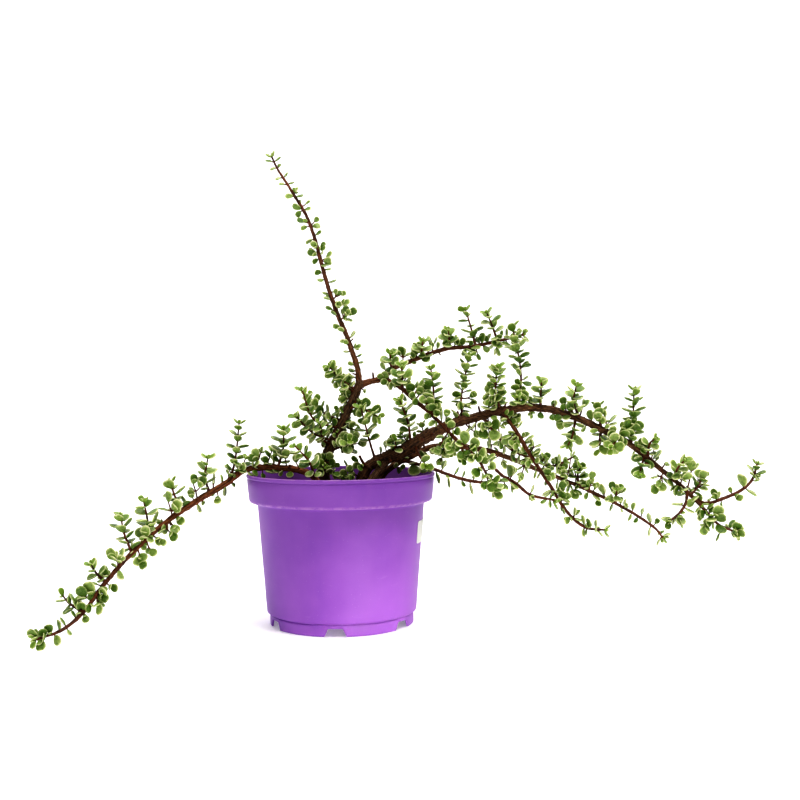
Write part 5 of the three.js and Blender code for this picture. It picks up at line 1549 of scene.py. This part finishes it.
def icosahedron():
    """The twelve corners of an icosahedron of radius 1, and its faces turned out.

    The corners are (+-1, +-golden ratio, 0) and the two turns of that. Three corners that are all an edge
    apart make a face.
    """
    golden = (1 + math.sqrt(5)) / 2
    pairs = [(s, t * golden) for s in (-1, 1) for t in (-1, 1)]
    corners = unit(np.array([(s, g, 0) for s, g in pairs] + [(0, s, g) for s, g in pairs]
                            + [(g, 0, s) for s, g in pairs]))
    edge = np.linalg.norm(corners[:, None] - corners[None], axis=2)
    edge = (edge > 0.1) & (edge < 1.1)
    trio = np.array([(a, b, c) for a in range(12) for b in range(a + 1, 12) for c in range(b + 1, 12)
                     if edge[a, b] and edge[b, c] and edge[a, c]])
    a, b, c = (corners[trio[:, k]] for k in range(3))
    inwards = np.sum(np.cross(b - a, c - a) * a, 1) < 0
    trio[inwards] = trio[inwards][:, ::-1]
    return corners, trio


def crumbs():
    """Loose crumbs and bark chips: icosahedra with uneven corners, stretched, turned and half sunk."""
    seed, least, gain, chance_power = 11, 0.7, 1.5, 2.5
    long, wide, high, corner = (1.0, 2.4), (0.7, 1.2), (0.45, 0.9), (0.75, 1.2)
    tilt_spread, edge_gap, proud = 0.35, 3, 0.15
    rng = np.random.default_rng(seed)
    corners, trio = icosahedron()
    size = least + gain * rng.uniform(0, 1, CRUMBS) ** chance_power
    stretch = size[:, None] * np.stack([rng.uniform(*span, CRUMBS) for span in (long, wide, high)], 1)
    shapes = corners[None] * rng.uniform(*corner, (CRUMBS, len(corners), 1)) * stretch[:, None, :]
    tilt, spin = rng.normal(0, tilt_spread, (CRUMBS, 1)), rng.uniform(0, TURN, (CRUMBS, 1))
    x, y, z = shapes[:, :, 0], shapes[:, :, 1], shapes[:, :, 2]
    x, z = x * np.cos(tilt) - z * np.sin(tilt), x * np.sin(tilt) + z * np.cos(tilt)
    x, y = x * np.cos(spin) - y * np.sin(spin), x * np.sin(spin) + y * np.cos(spin)
    radius = (MIX_RADIUS - edge_gap) * np.sqrt(rng.uniform(0, 1, CRUMBS))
    at = around(rng.uniform(0, 360, CRUMBS), radius, 0.0)
    at[:, 2] = mix_height(at[:, 0], at[:, 1]) + size * proud
    points = np.stack([x, y, z], -1) + at[:, None, :]
    faces = (trio[None] + (np.arange(CRUMBS) * len(corners))[:, None, None]).reshape(-1, 3)
    kind = np.repeat(rng.uniform(0, 1, CRUMBS), len(corners))
    return points.reshape(-1, 3), [faces], {"kind": kind}


piece("potting_mix_body", joined([mix_body(), crumbs()]), peat(), ["potting_mix"])


# ---------------------------------------------------------------------------------------------------------
# The label
# ---------------------------------------------------------------------------------------------------------


# Rings from the front's middle over the edge to the back's: share of the outline, and how far off the wall.
LABEL_RINGS = [
    (0.25, LABEL_FRONT), (0.5, LABEL_FRONT), (0.75, LABEL_FRONT), (0.97, 0.47), (1.0, 0.40), (1.0, 0.14),
    (0.97, LABEL_BACK), (0.6, LABEL_BACK), (0.2, LABEL_BACK),
]


def label_sheet():
    """A blank sticker on the wall: rings that grow from its middle to a rectangle with round corners.

    A ring's point is the outline's times the ring's share, and its radius is the wall's at that height
    plus how far it stands off.
    """
    wall_radius, wall_height = np.array(POT_OUTSIDE).T
    radius_at = lambda height: np.interp(height, wall_height, wall_radius)
    middle_z, half_z = (LABEL_TOP + LABEL_BOTTOM) / 2, (LABEL_TOP - LABEL_BOTTOM) / 2
    middle_turn, half_turn = (LABEL_FROM + LABEL_TO) / 2, (LABEL_TO - LABEL_FROM) / 2
    middle_radius = float(radius_at(middle_z))
    half_x = math.radians(half_turn) * middle_radius
    angle = np.arange(96) / 96 * TURN
    reach = np.minimum(half_x / np.maximum(np.abs(np.cos(angle)), 1e-6),
                       half_z / np.maximum(np.abs(np.sin(angle)), 1e-6))
    box = np.stack([np.cos(angle), np.sin(angle)], 1) * reach[:, None]
    straight = np.array([half_x - LABEL_CORNER, half_z - LABEL_CORNER])
    inner = np.clip(box, -straight, straight)
    beyond = np.minimum(np.linalg.norm(box - inner, axis=1), LABEL_CORNER)
    outline = inner + unit(box - inner) * beyond[:, None]
    shares, proud = np.array(LABEL_RINGS).T[:, :, None]
    flat = outline[None] * shares[:, :, None]
    height = middle_z + flat[:, :, 1]
    turn = middle_turn + np.degrees(flat[:, :, 0] / middle_radius)
    rings = around(turn, radius_at(height) + proud, height)
    front, back = (around(middle_turn, middle_radius + off, middle_z) for off in (LABEL_FRONT, LABEL_BACK))
    points = np.concatenate([front[None], rings.reshape(-1, 3), back[None]])
    return outward((points, tube_faces(len(rings), len(angle)), {}))


piece("label_sheet", label_sheet(), blank_paper(), ["label"])


# ---------------------------------------------------------------------------------------------------------
# Studio
# ---------------------------------------------------------------------------------------------------------


def sweep():
    """The floor, which curves up into a back wall: a line of (y, z) drawn out along X, in mm.

    It lies a hair below the pot's foot.
    """
    front, bend_from, bend_radius, wall_top, half_width, hair = -4000, 2200, 1500, 5000, 6000.0, 0.3
    bend = np.radians(np.linspace(0, 90, 17))
    y = np.concatenate([[front], bend_from + bend_radius * np.sin(bend), [bend_from + bend_radius]])
    z = np.concatenate([[0], bend_radius * (1 - np.cos(bend)), [wall_top]]) - hair
    x = np.array([-half_width, half_width])
    points = np.stack(np.broadcast_arrays(x[None, :], y[:, None], z[:, None]), -1).reshape(-1, 3)
    row = np.arange(len(y) - 1) * 2
    mesh = bpy.data.meshes.new("floor")
    mesh.from_pydata((points * MM).tolist(), [], np.stack([row, row + 1, row + 3, row + 2], 1).tolist())
    mesh.polygons.foreach_set("use_smooth", np.ones(len(row), bool))
    mesh.materials.append(glowing_pale_floor())
    floor = bpy.data.objects.new("floor", mesh)
    bpy.context.scene.collection.objects.link(floor)


def soft_light(name, place, target, size, power, colour=(1, 1, 1), spread=180):
    """A square soft box at a place, turned to face its target. Spread is its beam's full angle.

    Places, target and size are in metres, power in watts and spread in degrees.
    """
    light = bpy.data.lights.new(name, "AREA")
    light.shape = "SQUARE"
    light.size = size
    light.energy = power
    light.color = colour
    light.spread = math.radians(spread)
    lamp = bpy.data.objects.new(name, light)
    lamp.location = place
    lamp.rotation_euler = (Vector(target) - Vector(place)).to_track_quat("-Z", "Y").to_euler()
    bpy.context.scene.collection.objects.link(lamp)


sweep()
soft_light("key_light", place=(0.7, -0.8, 2.1), target=(0.05, 0, 0.15), size=0.55, power=19.5,
           colour=(1.0, 0.985, 0.96))
soft_light("fill_light", place=(-1.9, -1.5, 0.5), target=(0, 0, 0.08), size=1.4, power=5.4,
           colour=(0.93, 0.95, 1.0))
soft_light("low_light", place=(0.5, -0.8, 0.05), target=(0.04, -0.06, -0.06), size=0.2, power=0.145,
           colour=(1.0, 1.0, 0.74), spread=15)
soft_light("backdrop_light", place=(0, 0.9, 3.2), target=(0, 3.2, 0.6), size=2.2, power=70)

WORLD_STRENGTH = 0.27
# The camera: its sensor and lens in mm, its place in metres, and how far it looks down and leans, in degrees.
SENSOR_WIDTH = 36
LENS = 47.46
CAMERA_PLACE = (0.05405, -0.9552, 0.2088)
CAMERA_DOWN = 0.54
CAMERA_LEAN = -0.447

world = bpy.data.worlds.new("studio")
world.use_nodes = True
background = world.node_tree.nodes["Background"]
background.inputs["Color"].default_value = (1, 1, 1, 1)
background.inputs["Strength"].default_value = WORLD_STRENGTH
bpy.context.scene.world = world
bpy.context.scene.view_settings.view_transform = "Standard"
bpy.context.scene.view_settings.look = "High Contrast"

camera = bpy.data.cameras.new("camera")
camera.sensor_width = SENSOR_WIDTH
camera.lens = LENS
camera_object = bpy.data.objects.new("camera", camera)
camera_object.matrix_world = (
    Matrix.Translation(CAMERA_PLACE)
    @ Matrix.Rotation(math.radians(90 - CAMERA_DOWN), 4, "X")
    @ Matrix.Rotation(math.radians(CAMERA_LEAN), 4, "Z")
)
bpy.context.scene.collection.objects.link(camera_object)
bpy.context.scene.camera = camera_object
